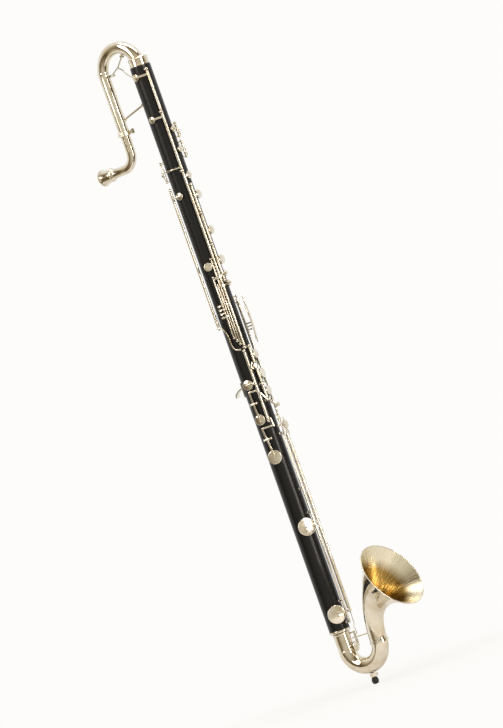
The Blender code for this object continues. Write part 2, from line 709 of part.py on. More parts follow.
def neck(parent):
    """Collar, crook, cork, mouthpipe, clamp and brace."""
    top = BODY_TOP
    tenon = CROOK_RADIUS - 0.2 * MM
    cork_inner = CROOK_RADIUS + GAP
    sleeve = cork_inner + CORK_THICKNESS + GAP
    collar = turned([(COLLAR_RADIUS, top + GAP), (COLLAR_RADIUS, top + COLLAR_HEIGHT * 0.85),
                     (COLLAR_RADIUS - 1.2 * MM, top + COLLAR_HEIGHT), (sleeve + 1.8 * MM, top + COLLAR_HEIGHT),
                     (sleeve, top + GAP), (sleeve, top - CORK_LENGTH + GAP),
                     (COLLAR_SPIGOT, top - CORK_LENGTH + GAP), (COLLAR_SPIGOT, top + GAP)], GRID, closed=True)
    place("neck_collar", collar, NICKEL, parent)
    cork_low = top - CORK_LENGTH + 3 * MM
    place("neck_cork", ring(cork_inner + CORK_THICKNESS, cork_inner, cork_low,
                            top - 2 * GAP, GRID), CORK, parent)
    centre = Vector((0, CROOK_BEND, top + CROOK_RISE))
    bend, ahead = arc(centre, CROOK_BEND, 180, 0, 10)
    leg_end = Vector((0, 2 * CROOK_BEND, top - CROOK_LEG_END))
    centres = [Vector((0, 0, top - CORK_LENGTH + 2 * MM)), *bend, leg_end]
    aheads = [Vector((0, 0, 1)), *ahead, Vector((0, 0, -1))]
    outer = [tenon] + [CROOK_RADIUS + (CROOK_END_RADIUS - CROOK_RADIUS) * i / len(bend)
                       for i in range(len(bend))] + [CROOK_END_RADIUS]
    inner = [radius - TUBE_WALL for radius in outer]
    vent_angle = math.radians(114)
    vent_out = Vector((0, -math.cos(vent_angle), -math.sin(vent_angle)))
    wall = centre + Vector((0, -vent_out.y, -vent_out.z)) * (CROOK_BEND - 11.6 * MM)
    pip = pin(wall - vent_out * 0.4 * MM, wall + vent_out * 3.0 * MM, 2.4 * MM, 8)
    tube = pipe(centres, aheads, outer, inner, TUBE_SIDES)
    drilled = combined([combined([tube, pip], "UNION"),
                        pin(wall - vent_out * 3.0 * MM, wall + vent_out * 4.0 * MM, 0.9 * MM, 6)],
                       "DIFFERENCE")
    place("neck_crook", drilled, NICKEL, parent)
    pipe_radius = CROOK_END_RADIUS - TUBE_WALL - GAP
    leg_y = 2 * CROOK_BEND
    start = Vector((0, leg_y, top - CROOK_LEG_END + MOUTHPIPE_OVERLAP))
    corner = Vector((0, leg_y + MOUTHPIPE_BEND, top - MOUTHPIPE_DROP))
    bend, ahead = arc(corner, MOUTHPIPE_BEND, 180, 270, 5)
    end_z = top - MOUTHPIPE_DROP - MOUTHPIPE_BEND
    flare = [(SOCKET_LENGTH + 12 * MM, pipe_radius + 0.6 * MM), (SOCKET_LENGTH + 6 * MM, 12.6 * MM),
             (SOCKET_LENGTH * 0.5, 14.2 * MM), (4 * MM, SOCKET_RADIUS - 0.6 * MM),
             (2.4 * MM, SOCKET_RADIUS), (0, SOCKET_RADIUS)]
    centres = [start, *bend, *[Vector((0, SOCKET_REACH - back, end_z)) for back, radius in flare]]
    aheads = [Vector((0, 0, -1)), *ahead, *[Vector((0, 1, 0)) for entry in flare]]
    outer = [pipe_radius] * (1 + len(bend)) + [radius for back, radius in flare]
    narrow = pipe_radius - TUBE_WALL
    inner = [narrow] * (len(bend) + 2) + [narrow] + [SOCKET_BORE] * (len(flare) - 2)
    place("mouthpipe", pipe(centres, aheads, outer, inner, TUBE_SIDES), NICKEL, parent)
    clamp_z = top - CROOK_LEG_END + 4 * MM
    clamp_radius = CROOK_END_RADIUS + 2.6 * MM
    clamp_spot = Matrix.Translation((0, leg_y, clamp_z))
    clamp = ring(clamp_radius, CROOK_END_RADIUS + GAP, -4 * MM, 4 * MM, 16, clamp_spot)
    lug = pin(Vector((0, leg_y - CROOK_END_RADIUS - 1.2 * MM, clamp_z)),
              Vector((0, leg_y - clamp_radius - 4 * MM, clamp_z)), 3.0 * MM, 8)
    drill = pin(Vector((0, leg_y - CROOK_END_RADIUS, clamp_z)),
                Vector((0, leg_y - clamp_radius - 6 * MM, clamp_z)), 1.9 * MM, 8)
    place("clamp_ring", combined([combined([clamp, lug], "UNION"), drill], "DIFFERENCE"), NICKEL, parent)
    head = leg_y - clamp_radius - 4 * MM - GAP
    shank = pin(Vector((0, head - 1 * MM, clamp_z)),
                Vector((0, leg_y - CROOK_END_RADIUS - 2 * GAP, clamp_z)), 1.5 * MM, 8)
    knob = pin(Vector((0, head, clamp_z)), Vector((0, head - 2.6 * MM, clamp_z)), 2.6 * MM, 8)
    wing = bar([Vector((0, head - 1 * MM, clamp_z)), Vector((0, head - 7 * MM, clamp_z))],
               9 * MM, 1.4 * MM)
    place("clamp_screw", combined([shank, knob, wing], "UNION"), NICKEL, parent, Vector((0, head, clamp_z)))
    brace_from = Vector((0, leg_y - CROOK_END_RADIUS - GAP, top - 84 * MM))
    brace_to = Vector((0, BODY_RADIUS + 5.8 * MM, top - 71 * MM))
    strut = pin(brace_from + Vector((0, -0.8 * MM, 0.2 * MM)), brace_to, 2.3 * MM, 8)
    flange = ring_pad(brace_from, 5.0 * MM, 1.6 * MM)
    place("neck_brace", combined([strut, flange], "UNION"), NICKEL, parent)
    foot = Vector((0, BODY_RADIUS + GAP, top - 70.5 * MM))
    saddle = pin(foot, foot + Vector((0, 4.2 * MM, 0)), 5.0 * MM, 10)
    place("brace_saddle", saddle, STEEL, parent)
    neck_vent_key(parent, centre, wall, vent_out)


def ring_pad(point, radius, thickness):
    """Small round flange against the crook's leg, facing the body."""
    return pin(point, point - Vector((0, thickness, 0)), radius, 10)


def neck_vent_key(parent, centre, wall, out):
    """Small key inside the crook that opens the upper register vent."""
    seat = wall + out * (3.0 * MM + GAP)
    cap = pin(seat, seat + out * 3.2 * MM, 4.6 * MM, 10)
    pivot = centre + Vector((0, CROOK_BEND - CROOK_END_RADIUS - 7.5 * MM, -2 * MM))
    tube = pin(pivot - Vector((5 * MM, 0, 0)), pivot + Vector((5 * MM, 0, 0)), 1.8 * MM, 8)
    knee = centre + Vector((0, 6 * MM, 8 * MM))
    lever = bar([seat + out * 2.2 * MM, knee, pivot], 3.4 * MM, 1.6 * MM, Vector((1, 0, 0)))
    tail = bar([knee, centre + Vector((0, -4 * MM, -1 * MM))], 3.4 * MM, 1.6 * MM, Vector((1, 0, 0)))
    place("neck_vent_key", combined([tube, lever, tail, cap], "UNION"), NICKEL, parent, pivot)
    ears = []
    for side in (-1, 1):
        near = pivot + Vector((side * (5 * MM + GAP), 0, 0))
        root = Vector((near.x, 2 * CROOK_BEND - CROOK_END_RADIUS * 0.9 - 2 * GAP, pivot.z))
        ears.append(bar([near + Vector((side * 0.8 * MM, -2.4 * MM, 0)),
                         root + Vector((side * 0.8 * MM, 0, 0))], 4.6 * MM, 1.6 * MM))
    web = bar([Vector((-7.4 * MM, pivot.y + 4.4 * MM, pivot.z)), Vector((7.4 * MM, pivot.y + 4.4 * MM, pivot.z))],
              4.6 * MM, 1.8 * MM)
    place("vent_saddle", combined([ears[0], ears[1], web], "UNION"), NICKEL, parent)


def bow_and_bell(parent):
    """Ferrule, bow, bell, joint ring, brace and floor peg."""
    foot = BODY_FOOT_HEIGHT
    tenon_radius = BOW_RADIUS - 2.4 * MM - CORK_THICKNESS - GAP
    turn_z = foot - BOW_STRAIGHT
    bend, ahead = arc(Vector((0, -BOW_BEND, turn_z)), BOW_BEND, 0, -180, 10)
    ahead = [Vector((0, a.y, a.z)) for a in ahead]
    centres = [Vector((0, 0, foot + BOW_TENON - GAP)), Vector((0, 0, foot - GAP)),
               Vector((0, 0, foot - GAP - 0.1 * MM)), *bend]
    aheads = [Vector((0, 0, -1))] * 3 + ahead
    outer = [tenon_radius, tenon_radius, BOW_RADIUS] + [BOW_RADIUS] * len(bend)
    inner = [tenon_radius - TUBE_WALL] * 2 + [tenon_radius - TUBE_WALL] \
        + [BOW_RADIUS - 4 * TUBE_WALL] + [BOW_RADIUS - TUBE_WALL] * (len(bend) - 1)
    tube = pipe(centres, aheads, outer, inner, TUBE_SIDES)
    place("bow", drilled_bow(tube, foot - BOW_KEY_DROP), NICKEL, parent)
    place("bow_cork", ring(tenon_radius + CORK_THICKNESS, tenon_radius + GAP, foot + 3 * MM,
                           foot + BOW_TENON - 3 * MM, 20), CORK, parent)
    place("bottom_ferrule", ring(BODY_RADIUS + 0.9 * MM, BODY_RADIUS + GAP, foot, foot + 4.5 * MM, GRID),
          NICKEL, parent)
    throat = Vector((0, -2 * BOW_BEND, turn_z))
    joint = ring(BOW_RADIUS + 2.4 * MM, BOW_RADIUS + 3 * GAP, -JOINT_RING_HEIGHT, -GAP, TUBE_SIDES,
                 Matrix.Translation(throat))
    place("bell_joint_ring", joint, NICKEL, parent)
    place("bell", bell_shell(throat), NICKEL, parent)
    brace_z = foot - 17 * MM
    strut = pin(Vector((0, -BOW_RADIUS - GAP - 0.6 * MM, brace_z)),
                Vector((0, bell_back(brace_z, throat) + GAP + 0.6 * MM, brace_z)), 1.4 * MM, 8)
    place("bell_brace", strut, NICKEL, parent)
    floor_peg(parent, turn_z)


def bell_path(throat, share):
    """Centre and direction of the bell at a share of its length."""
    start = throat
    end = Vector((0, -BELL_RIM_FORWARD, BODY_FOOT_HEIGHT - BELL_RIM_DOWN))
    tilt = math.radians(BELL_TILT)
    toward = Vector((0, -math.sin(tilt), math.cos(tilt)))
    first = start + Vector((0, 0, BELL_START_CONTROL))
    last = end - toward * BELL_END_CONTROL
    a, b = 1 - share, share
    point = start * a ** 3 + first * (3 * a * a * b) + last * (3 * a * b * b) + end * b ** 3
    slope = (first - start) * (3 * a * a) + (last - first) * (6 * a * b) + (end - last) * (3 * b * b)
    return point, slope.normalized()


def bell_radius(share):
    return BELL_THROAT_RADIUS + (BELL_RIM_RADIUS - BELL_THROAT_RADIUS) * share ** BELL_FLARE


def bell_back(height, throat):
    """y of the bell's wall nearest the body, at a height."""
    best = None
    for i in range(101):
        point, slope = bell_path(throat, i / 100)
        back = point + Vector((1, 0, 0)).cross(slope) * -bell_radius(i / 100)
        other = point + Vector((1, 0, 0)).cross(slope) * bell_radius(i / 100)
        near = back if back.y > other.y else other
        if best is None or abs(near.z - height) < abs(best.z - height):
            best = near
    return best.y


def bell_shell(throat):
    """Flared shell with a rolled rim."""
    shares = [0, 0.25, 0.45, 0.6, 0.72, 0.82, 0.9, 0.96, 1.0]
    centres = []
    aheads = []
    outer = []
    inner = []
    for share in shares:
        point, slope = bell_path(throat, share)
        centres.append(point + (Vector((0, 0, GAP)) if share == 0 else Vector((0, 0, 0))))
        aheads.append(slope)
        outer.append(bell_radius(share) if share < 1 else BELL_RIM_RADIUS)
        inner.append(bell_radius(share) - TUBE_WALL)
    shell = pipe(centres, aheads, outer, inner, BELL_SIDES)
    rim_point, rim_slope = bell_path(throat, 1.0)
    frame = along(rim_point, rim_point + rim_slope)
    roll = turned([(BELL_RIM_RADIUS - 0.6 * MM, -1.6 * MM), (BELL_RIM_RADIUS + 1.0 * MM, -0.6 * MM),
                   (BELL_RIM_RADIUS + 1.0 * MM, 0.8 * MM), (BELL_RIM_RADIUS - 1.0 * MM, 0.9 * MM),
                   (BELL_RIM_RADIUS - 1.6 * MM, -0.4 * MM)], BELL_SIDES, frame, closed=True)
    return combined([shell, roll], "UNION")


def bow_hinge():
    """Direction, reach and both end heights of the bow key's hinge tube."""
    angle, reach = BOW_KEY_ROD
    return angle, reach, BODY_FOOT_HEIGHT - 30 * MM, BODY_FOOT_HEIGHT - 10 * MM


def bow_posts():
    """The bow key's two pillars."""
    angle, reach, low, high = bow_hinge()
    ball = BOW_ROD_RADIUS + BALL_MARGIN
    return [post(angle, height, reach, ball, BOW_RADIUS + 0.6 * MM)
            for height in (high + ball + GAP, low - ball - GAP)]


def drilled_bow(tube, height):
    """Adds the rimmed vent in the bow's front wall and the pillars beside it."""
    frame = facing(270, height)
    rim = rod(BOW_HOLE_RADIUS + RIM_WALL, BOW_RADIUS - 5.0 * MM, BOW_RADIUS + BOW_RIM_HEIGHT, 12, frame)
    drill = rod(BOW_HOLE_RADIUS, 2 * MM, BOW_RADIUS + 2 * BOW_RIM_HEIGHT, 12, frame)
    return combined([combined([tube, rim, *bow_posts()], "UNION"), drill], "DIFFERENCE")


def bow_key(parent):
    """The lowest key, on the front of the bow, worked by the long E flat rod."""
    height = BODY_FOOT_HEIGHT - BOW_KEY_DROP
    frame = facing(270, height)
    floor = BOW_RADIUS + BOW_RIM_HEIGHT + GAP
    ceiling = floor + PAD_THICKNESS + GAP
    crown = ceiling + CUP_WALL
    hollow = BOW_CUP_RADIUS - CUP_WALL
    cup = turned([(0, ceiling), (hollow, ceiling), (hollow, floor + 0.8 * MM),
                  (BOW_CUP_RADIUS, floor + 0.8 * MM), (BOW_CUP_RADIUS, crown - 0.5 * MM),
                  (BOW_CUP_RADIUS * 0.72, crown + 0.2 * MM), (0, crown + 0.4 * MM)], 12, frame)
    pad = rod(hollow - GAP, floor, ceiling - GAP, 12, frame)
    angle, reach, low, high = bow_hinge()
    tube = rod(BOW_ROD_RADIUS, low, high, ROD_SIDES, Matrix.Translation(around(angle, reach, 0)))
    arm = bar([around(angle, reach, low + 4 * MM), frame @ Vector((11.5 * MM, 8 * MM, crown + 0.8 * MM)),
               frame @ Vector((0, 0, crown + 0.3 * MM))], ARM_WIDTH, ARM_THICKNESS)
    tail = flat_path([around(angle, reach, high - 3 * MM), around(angle, reach + 4.4 * MM, high - 1 * MM),
                      around(angle, reach + 4.4 * MM, high + 6 * MM),
                      around(angle - 6, reach + 2.6 * MM, high + 14 * MM)], 3.4 * MM, 1.5 * MM)
    origin = around(angle, reach, low)
    mesh = combined([tube, arm, tail, cup], "UNION")
    turn = bow_key_turn(origin)
    mesh.transform(turn)
    pad.transform(turn)
    place("bow_key", mesh, NICKEL, parent, origin)
    place("bow_pad", pad, LEATHER, parent, origin)


def bow_key_turn(origin):
    """Turn that opens the bow key from closed to rest."""
    out = around(270, 1, 0)
    arm = around(270, BOW_RADIUS + BOW_RIM_HEIGHT + 4 * MM, 0) - Vector((origin.x, origin.y, 0))
    push = Vector((0, 0, 1)).cross(arm).dot(out)
    turn = CUP_LIFT / abs(push) * (1 if push > 0 else -1)
    return Matrix.Translation(origin) @ Matrix.Rotation(turn, 4, "Z") @ Matrix.Translation(-origin)


def floor_peg(parent, turn_z):
    """Socket under the bow, its peg with a rubber tip, and the screw that locks it."""
    bow_low = turn_z - BOW_BEND - BOW_RADIUS
    y = -BOW_BEND
    socket_low = bow_low - PEG_SOCKET_LENGTH
    spot = Matrix.Translation((0, y, 0))
    socket = ring(PEG_SOCKET_RADIUS, PEG_RADIUS + GAP, socket_low, bow_low - GAP, 14, spot)
    screw_z = socket_low + PEG_SOCKET_LENGTH * 0.45
    drill = pin(Vector((PEG_RADIUS, y, screw_z)), Vector((PEG_SOCKET_RADIUS + 2 * MM, y, screw_z)), 1.9 * MM, 8)
    place("peg_socket", combined([socket, drill], "DIFFERENCE"), NICKEL, parent)
    tip_top = 2 * PEG_TIP_RADIUS * 0.93
    place("floor_peg", rod(PEG_RADIUS, tip_top * 0.55, bow_low - 2 * GAP, 12, spot), STEEL, parent)
    profile = [(PEG_FOOT_RADIUS, 0), (PEG_TIP_RADIUS * 0.82, 1.9 * MM), (PEG_TIP_RADIUS, PEG_TIP_RADIUS * 0.93),
               (PEG_TIP_RADIUS * 0.82, 2 * PEG_TIP_RADIUS * 0.93 - 1.9 * MM), (PEG_RADIUS + 1.2 * MM, tip_top),
               (PEG_RADIUS + GAP, tip_top), (PEG_RADIUS + GAP, tip_top * 0.55 - GAP), (0, tip_top * 0.55 - GAP)]
    place("peg_tip", turned([(0, 0), *profile], 14, spot), RUBBER, parent)
    head = PEG_SOCKET_RADIUS + GAP
    shank = pin(Vector((PEG_RADIUS + GAP, y, screw_z)), Vector((head + 1 * MM, y, screw_z)), 1.5 * MM, 8)
    knob = pin(Vector((head, y, screw_z)), Vector((head + 5 * MM, y, screw_z)), 3.4 * MM, 10)
    place("peg_screw", combined([shank, knob], "UNION"), NICKEL, parent, Vector((head, y, screw_z)))


def thumb_rest(parent):
    """Hooked rest for the right thumb, on the back of the body."""
    height = station(640)
    angle = 100
    base = flat_path([around(angle, BODY_RADIUS + 1.3 * MM, height + 14 * MM),
                      around(angle, BODY_RADIUS + 1.3 * MM, height - 14 * MM)], 9 * MM, 1.8 * MM)
    hook = flat_path([around(angle, BODY_RADIUS + 1.3 * MM, height + 4 * MM),
                      around(angle, BODY_RADIUS + 9 * MM, height + 1.5 * MM),
                      around(angle, BODY_RADIUS + 17 * MM, height - 4 * MM),
                      around(angle, BODY_RADIUS + 19 * MM, height - 10 * MM)], 12 * MM, 2.2 * MM)
    lift = Matrix.Translation(around(angle, 0.6 * MM, 0))
    mesh = combined([base, hook], "UNION")
    mesh.transform(lift)
    place("thumb_rest", mesh, NICKEL, parent)


def build():
    for obj in list(bpy.data.objects):
        bpy.data.objects.remove(obj)
    axis = bpy.data.objects.new("body_axis", None)
    bpy.context.scene.collection.objects.link(axis)
    axis.location = (0, BOW_BEND, 0)
    body_tube(axis)
    neck(axis)
    bow_and_bell(axis)
    for name, key in KEYS.items():
        key_on_rod(name, key, axis)
    for name, lever in ROCKERS.items():
        rocker(name, lever, axis)
    bow_key(axis)
    thumb_rest(axis)
    bpy.context.view_layer.update()


build()
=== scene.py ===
# Contra-alto clarinet: finishes and fine shapes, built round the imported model.
import json
import math

import bmesh
import bpy
from mathutils import Matrix, Vector


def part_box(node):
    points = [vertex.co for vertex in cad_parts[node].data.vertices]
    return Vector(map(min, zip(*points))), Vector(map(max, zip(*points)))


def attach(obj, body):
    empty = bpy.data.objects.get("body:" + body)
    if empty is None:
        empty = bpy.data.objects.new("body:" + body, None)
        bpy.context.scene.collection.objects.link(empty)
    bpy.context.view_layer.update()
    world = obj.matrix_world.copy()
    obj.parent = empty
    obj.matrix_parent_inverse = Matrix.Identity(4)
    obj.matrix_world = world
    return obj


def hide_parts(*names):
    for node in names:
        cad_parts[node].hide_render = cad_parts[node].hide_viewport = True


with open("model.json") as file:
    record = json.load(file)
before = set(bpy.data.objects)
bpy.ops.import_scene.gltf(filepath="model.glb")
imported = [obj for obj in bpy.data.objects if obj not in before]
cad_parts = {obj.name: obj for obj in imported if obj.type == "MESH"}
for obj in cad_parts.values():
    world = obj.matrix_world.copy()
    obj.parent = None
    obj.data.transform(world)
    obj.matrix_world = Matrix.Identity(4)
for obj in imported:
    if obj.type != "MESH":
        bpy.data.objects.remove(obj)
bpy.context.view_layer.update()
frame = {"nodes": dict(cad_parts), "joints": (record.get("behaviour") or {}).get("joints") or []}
mm = 0.001
up = Vector((0, 0, 1))
sideways = Vector((1, 0, 0))
sharpAngle = math.radians(38)  # edges steeper than this stay crisp

# Places taken from the frame
ferruleLow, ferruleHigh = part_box("bottom_ferrule")
axisY = (ferruleLow.y + ferruleHigh.y) / 2
bodyFoot = ferruleLow.z
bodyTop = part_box("body_tube")[1].z
joints = {j["child"]: j for j in frame["joints"]}

tube = dict(radius=20.0, bore=11.5, topSocket=17.1, footSocket=14.1, rimHeight=1.0, rimWall=1.3, sides=128)
keywork = dict(standoff=6.0, padThickness=2.2, cupWall=1.0, gap=0.3, armWidth=4.0, armThickness=1.6,
               touchThickness=1.7, ballMargin=0.35, stemRadius=1.5, sleeve=2.0, rodSides=28, cupSides=56)
padFloor = tube["radius"] + tube["rimHeight"] + keywork["gap"]
cupCeiling = padFloor + keywork["padThickness"] + keywork["gap"]
cupTop = cupCeiling + keywork["cupWall"]


def station(down):
    return bodyTop - down * mm  # stations are mm below the body's top


def around(angle, reach, height):
    turn = math.radians(angle)  # direction round the body, reach in mm, height in metres
    return Vector((reach * mm * math.cos(turn), axisY + reach * mm * math.sin(turn), height))


def facing(angle, height):
    turn = math.radians(angle)  # x round the body, y up it, z out of it
    return Matrix(((-math.sin(turn), 0, math.cos(turn), 0),
                   (math.cos(turn), 0, math.sin(turn), axisY),
                   (0, 1, 0, height),
                   (0, 0, 0, 1)))


# Mesh code. A shape is (points, faces); several are put together into one piece.
def lathe(profile, sides, spot=None, closed=False):
    points, rings = [], []
    for radius, height in profile:
        if radius == 0:
            rings.append([len(points)])
            points.append(Vector((0, 0, height * mm)))
            continue
        rings.append(list(range(len(points), len(points) + sides)))
        for i in range(sides):
            turn = math.tau * i / sides
            points.append(Vector((radius * mm * math.cos(turn), radius * mm * math.sin(turn), height * mm)))
    if spot:
        points = [spot @ p for p in points]
    return points, skin(rings, closed)


def skin(rings, closed=False):
    faces = []
    pairs = list(zip(rings, rings[1:])) + ([(rings[-1], rings[0])] if closed else [])
    for low, high in pairs:
        for i in range(max(len(low), len(high))):
            corners = [low[i % len(low)], low[(i + 1) % len(low)],
                       high[(i + 1) % len(high)], high[i % len(high)]]
            corners = [c for k, c in enumerate(corners) if c not in corners[:k]]
            if len(corners) > 2:
                faces.append(corners)
    return faces


def smoothPath(points, steps):
    out = []  # a smooth curve through the points
    for i in range(len(points) - 1):
        a = points[max(i - 1, 0)]
        b, c = points[i], points[i + 1]
        d = points[min(i + 2, len(points) - 1)]
        for k in range(steps):
            t = k / steps
            out.append(0.5 * (2 * b + (c - a) * t + (2 * a - 5 * b + 4 * c - d) * t ** 2
                              + (3 * b - a - 3 * c + d) * t ** 3))
    return out + [points[-1]]


def directions(points):
    ahead = []
    for i in range(len(points)):
        ahead.append((points[min(i + 1, len(points) - 1)] - points[max(i - 1, 0)]).normalized())
    return ahead


def sweep(centres, radii, sides, inner=None, side=None):
    ahead = directions(centres)  # round tube; with inner radii it is hollow and open at both ends
    points, skins, frames = [], [], []
    across = side or ahead[0].orthogonal().normalized()
    for direction in ahead:
        across = (across - direction * across.dot(direction)).normalized()
        frames.append((across, direction.cross(across)))
    for many in [radii] + ([inner] if inner else []):
        rings = []
        for centre, (x, y), radius in zip(centres, frames, many):
            rings.append(list(range(len(points), len(points) + sides)))
            for i in range(sides):
                turn = math.tau * i / sides
                points.append(centre + (x * math.cos(turn) + y * math.sin(turn)) * (radius * mm))
        skins.append(rings)
    if inner:
        return points, skin(skins[0] + skins[1][::-1], True)
    return points, skin(skins[0]) + [skins[0][0], skins[0][-1]]


def ribbon(points, widths, thickness, corner=0.45):
    ahead, sides = directions(points), 16  # forged bar with soft edges and rounded ends
    if not isinstance(widths, list):
        widths = [widths] * len(points)
    made, rings = [], []
    last = len(points) - 1
    samples = [(0, -0.34, 0.45), (0, -0.2, 0.8)] + [(i, 0, 1) for i in range(last + 1)]
    samples += [(last, 0.2, 0.8), (last, 0.34, 0.45)]
    for i, past, share in samples:
        point, direction = points[i], ahead[i]
        across = Vector((point.x, point.y - axisY, 0)).cross(direction)
        if across.length < 1e-9:
            across = direction.orthogonal()
        across.normalize()
        lift = direction.cross(across).normalized()
        centre = point + direction * (past * widths[i] * mm)
        rings.append(list(range(len(made), len(made) + sides)))
        for k in range(sides):
            c, s = math.cos(math.tau * k / sides), math.sin(math.tau * k / sides)
            made.append(centre + across * (math.copysign(abs(c) ** corner, c) * widths[i] * share * mm / 2)
                        + lift * (math.copysign(abs(s) ** corner, s) * thickness * share ** 0.5 * mm / 2))
    return made, skin(rings) + [rings[0], rings[-1]]


def moved(shape, spot):
    return [spot @ p for p in shape[0]], shape[1]


def along(start, end):
    spin = (end - start).to_track_quat("Z", "X")
    return Matrix.Translation(start) @ spin.to_matrix().to_4x4()


def piece(name, shapes, finish, body, nodes=(), uv=None):
    bm = bmesh.new()
    for points, faces in shapes:
        verts = [bm.verts.new(p) for p in points]
        for face in faces:
            bm.faces.new([verts[i] for i in face])
    bmesh.ops.recalc_face_normals(bm, faces=bm.faces)
    mesh = bpy.data.meshes.new(name)
    bm.to_mesh(mesh)
    bm.free()
    if uv:
        layer = mesh.uv_layers.new(name="along")
        for loop in mesh.loops:
            layer.data[loop.index].uv = uv[loop.vertex_index]
    mesh.materials.append(finish)
    mesh.shade_smooth()
    mesh.set_sharp_from_angle(angle=sharpAngle)
    obj = bpy.data.objects.new(name, mesh)
    bpy.context.scene.collection.objects.link(obj)
    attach(obj, body)
    if nodes:
        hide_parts(*nodes)


# Materials
def colour(value):
    parts = [int(value[i:i + 2], 16) / 255 for i in (0, 2, 4)]  # sRGB hex to linear
    return [c / 12.92 if c <= 0.04045 else ((c + 0.055) / 1.055) ** 2.4 for c in parts] + [1.0]


def add(tree, kind, settings=None, links=None, into=None):
    node = tree.nodes.new(kind)
    for key, value in (settings or {}).items():
        if key == "stops":
            elements = node.color_ramp.elements
            while len(elements) < len(value):
                elements.new(0.5)
            for element, (place, shade) in zip(elements, value):
                element.position = place
                element.color = colour(shade) if isinstance(shade, str) else (shade, shade, shade, 1)
        elif isinstance(key, int) or key in node.inputs:
            node.inputs[key].default_value = value
        else:
            setattr(node, key, value)
    for key, source in (links or {}).items():
        tree.links.new(source, node.inputs[key])
    if into is not None:
        tree.links.new(node.outputs[0], into)
    return node


def newMaterial(name, base, roughness, metallic=0.0, **more):
    made = bpy.data.materials.new(name)
    made.use_nodes = True
    shader = made.node_tree.nodes["Principled BSDF"]
    shader.inputs["Base Color"].default_value = colour(base)
    shader.inputs["Roughness"].default_value = roughness
    shader.inputs["Metallic"].default_value = metallic
    for key, value in more.items():
        shader.inputs[key].default_value = value
    return made, made.node_tree, shader


def nickelPlate(name, base, dull, low, high):
    # Nickel over nickel silver, buffed: a warm pale mirror that has yellowed in soft patches
    made, tree, shader = newMaterial(name, base, low, 1.0)
    place = add(tree, "ShaderNodeTexCoord").outputs["Object"]
    patches = add(tree, "ShaderNodeTexNoise", {"Scale": 1 / (22 * mm), "Detail": 3.0}, {"Vector": place})
    add(tree, "ShaderNodeValToRGB", {"stops": [(0.36, base), (0.66, dull)]},
        {"Fac": patches.outputs["Fac"]}, shader.inputs["Base Color"])
    smears = add(tree, "ShaderNodeTexNoise", {"Scale": 1 / (6 * mm), "Detail": 4.0}, {"Vector": place})
    add(tree, "ShaderNodeValToRGB", {"stops": [(0.35, low), (0.7, high)]},
        {"Fac": smears.outputs["Fac"]}, shader.inputs["Roughness"])
    buffing = add(tree, "ShaderNodeTexNoise", {"Scale": 1 / (9 * mm), "Detail": 1.0}, {"Vector": place})
    add(tree, "ShaderNodeBump", {"Strength": 0.05, "Distance": 0.4 * mm},
        {"Height": buffing.outputs["Fac"]}, shader.inputs["Normal"])
    return made


def grenadilla():
    # African blackwood, turned and oiled: near black, with fine straight grain under a soft sheen
    made, tree, shader = newMaterial("oiled_grenadilla", "09090c", 0.3, **{"Specular IOR Level": 0.36})
    place = add(tree, "ShaderNodeTexCoord").outputs["Object"]
    grainwise = add(tree, "ShaderNodeMapping", {"Scale": (1, 1, 0.035)}, {"Vector": place}).outputs["Vector"]
    bands = add(tree, "ShaderNodeTexNoise", {"Scale": 1 / (9 * mm), "Detail": 2.0}, {"Vector": grainwise})
    add(tree, "ShaderNodeValToRGB", {"stops": [(0.3, "08080b"), (0.62, "0e0e11"), (0.8, "151416")]},
        {"Fac": bands.outputs["Fac"]}, shader.inputs["Base Color"])
    pores = add(tree, "ShaderNodeTexNoise", {"Scale": 1 / (1.4 * mm), "Detail": 5.0, "Roughness": 0.6},
                {"Vector": grainwise})  # 1.4 mm apart, coarser than real so that they show
    add(tree, "ShaderNodeValToRGB", {"stops": [(0.3, 0.24), (0.7, 0.38)]},
        {"Fac": pores.outputs["Fac"]}, shader.inputs["Roughness"])
    add(tree, "ShaderNodeBump", {"Strength": 0.25, "Distance": 0.2 * mm},
        {"Height": pores.outputs["Fac"]}, shader.inputs["Normal"])
    return made


def bellLining():
    # Spun bell, lacquered inside: gold brown with drawn streaks that run from throat to rim, and a paler lip
    made, tree, shader = newMaterial("spun_bell_lacquer", "b79a68", 0.24, 1.0)
    place = add(tree, "ShaderNodeUVMap", {"uv_map": "along"}).outputs["UV"]
    lengthwise = add(tree, "ShaderNodeMapping", {"Scale": (46, 1.3, 1)}, {"Vector": place})
    streaks = add(tree, "ShaderNodeTexNoise", {"Scale": 1.0, "Detail": 4.0, "Roughness": 0.62},
                  {"Vector": lengthwise.outputs["Vector"]})  # 46 to half the way round: 4.7 mm at the rim
    drawn = add(tree, "ShaderNodeValToRGB", {"stops": [(0.3, "6b5223"), (0.52, "a08246"), (0.72, "d8c184")]},
                {"Fac": streaks.outputs["Fac"]})
    height = add(tree, "ShaderNodeSeparateXYZ", links={"Vector": place})
    lip = add(tree, "ShaderNodeValToRGB", {"stops": [(0.80, 0.0), (0.9, 1.0)]}, {"Fac": height.outputs["Y"]})
    worn = add(tree, "ShaderNodeMix", {"data_type": "RGBA", 7: colour("e6e0cc")},
               {"Factor": lip.outputs["Color"], 6: drawn.outputs["Color"]})
    tree.links.new(worn.outputs[2], shader.inputs["Base Color"])
    add(tree, "ShaderNodeValToRGB", {"stops": [(0.3, 0.34), (0.7, 0.18)]},
        {"Fac": streaks.outputs["Fac"]}, shader.inputs["Roughness"])
    add(tree, "ShaderNodeBump", {"Strength": 0.2, "Distance": 0.4 * mm},
        {"Height": streaks.outputs["Fac"]}, shader.inputs["Normal"])
    return made


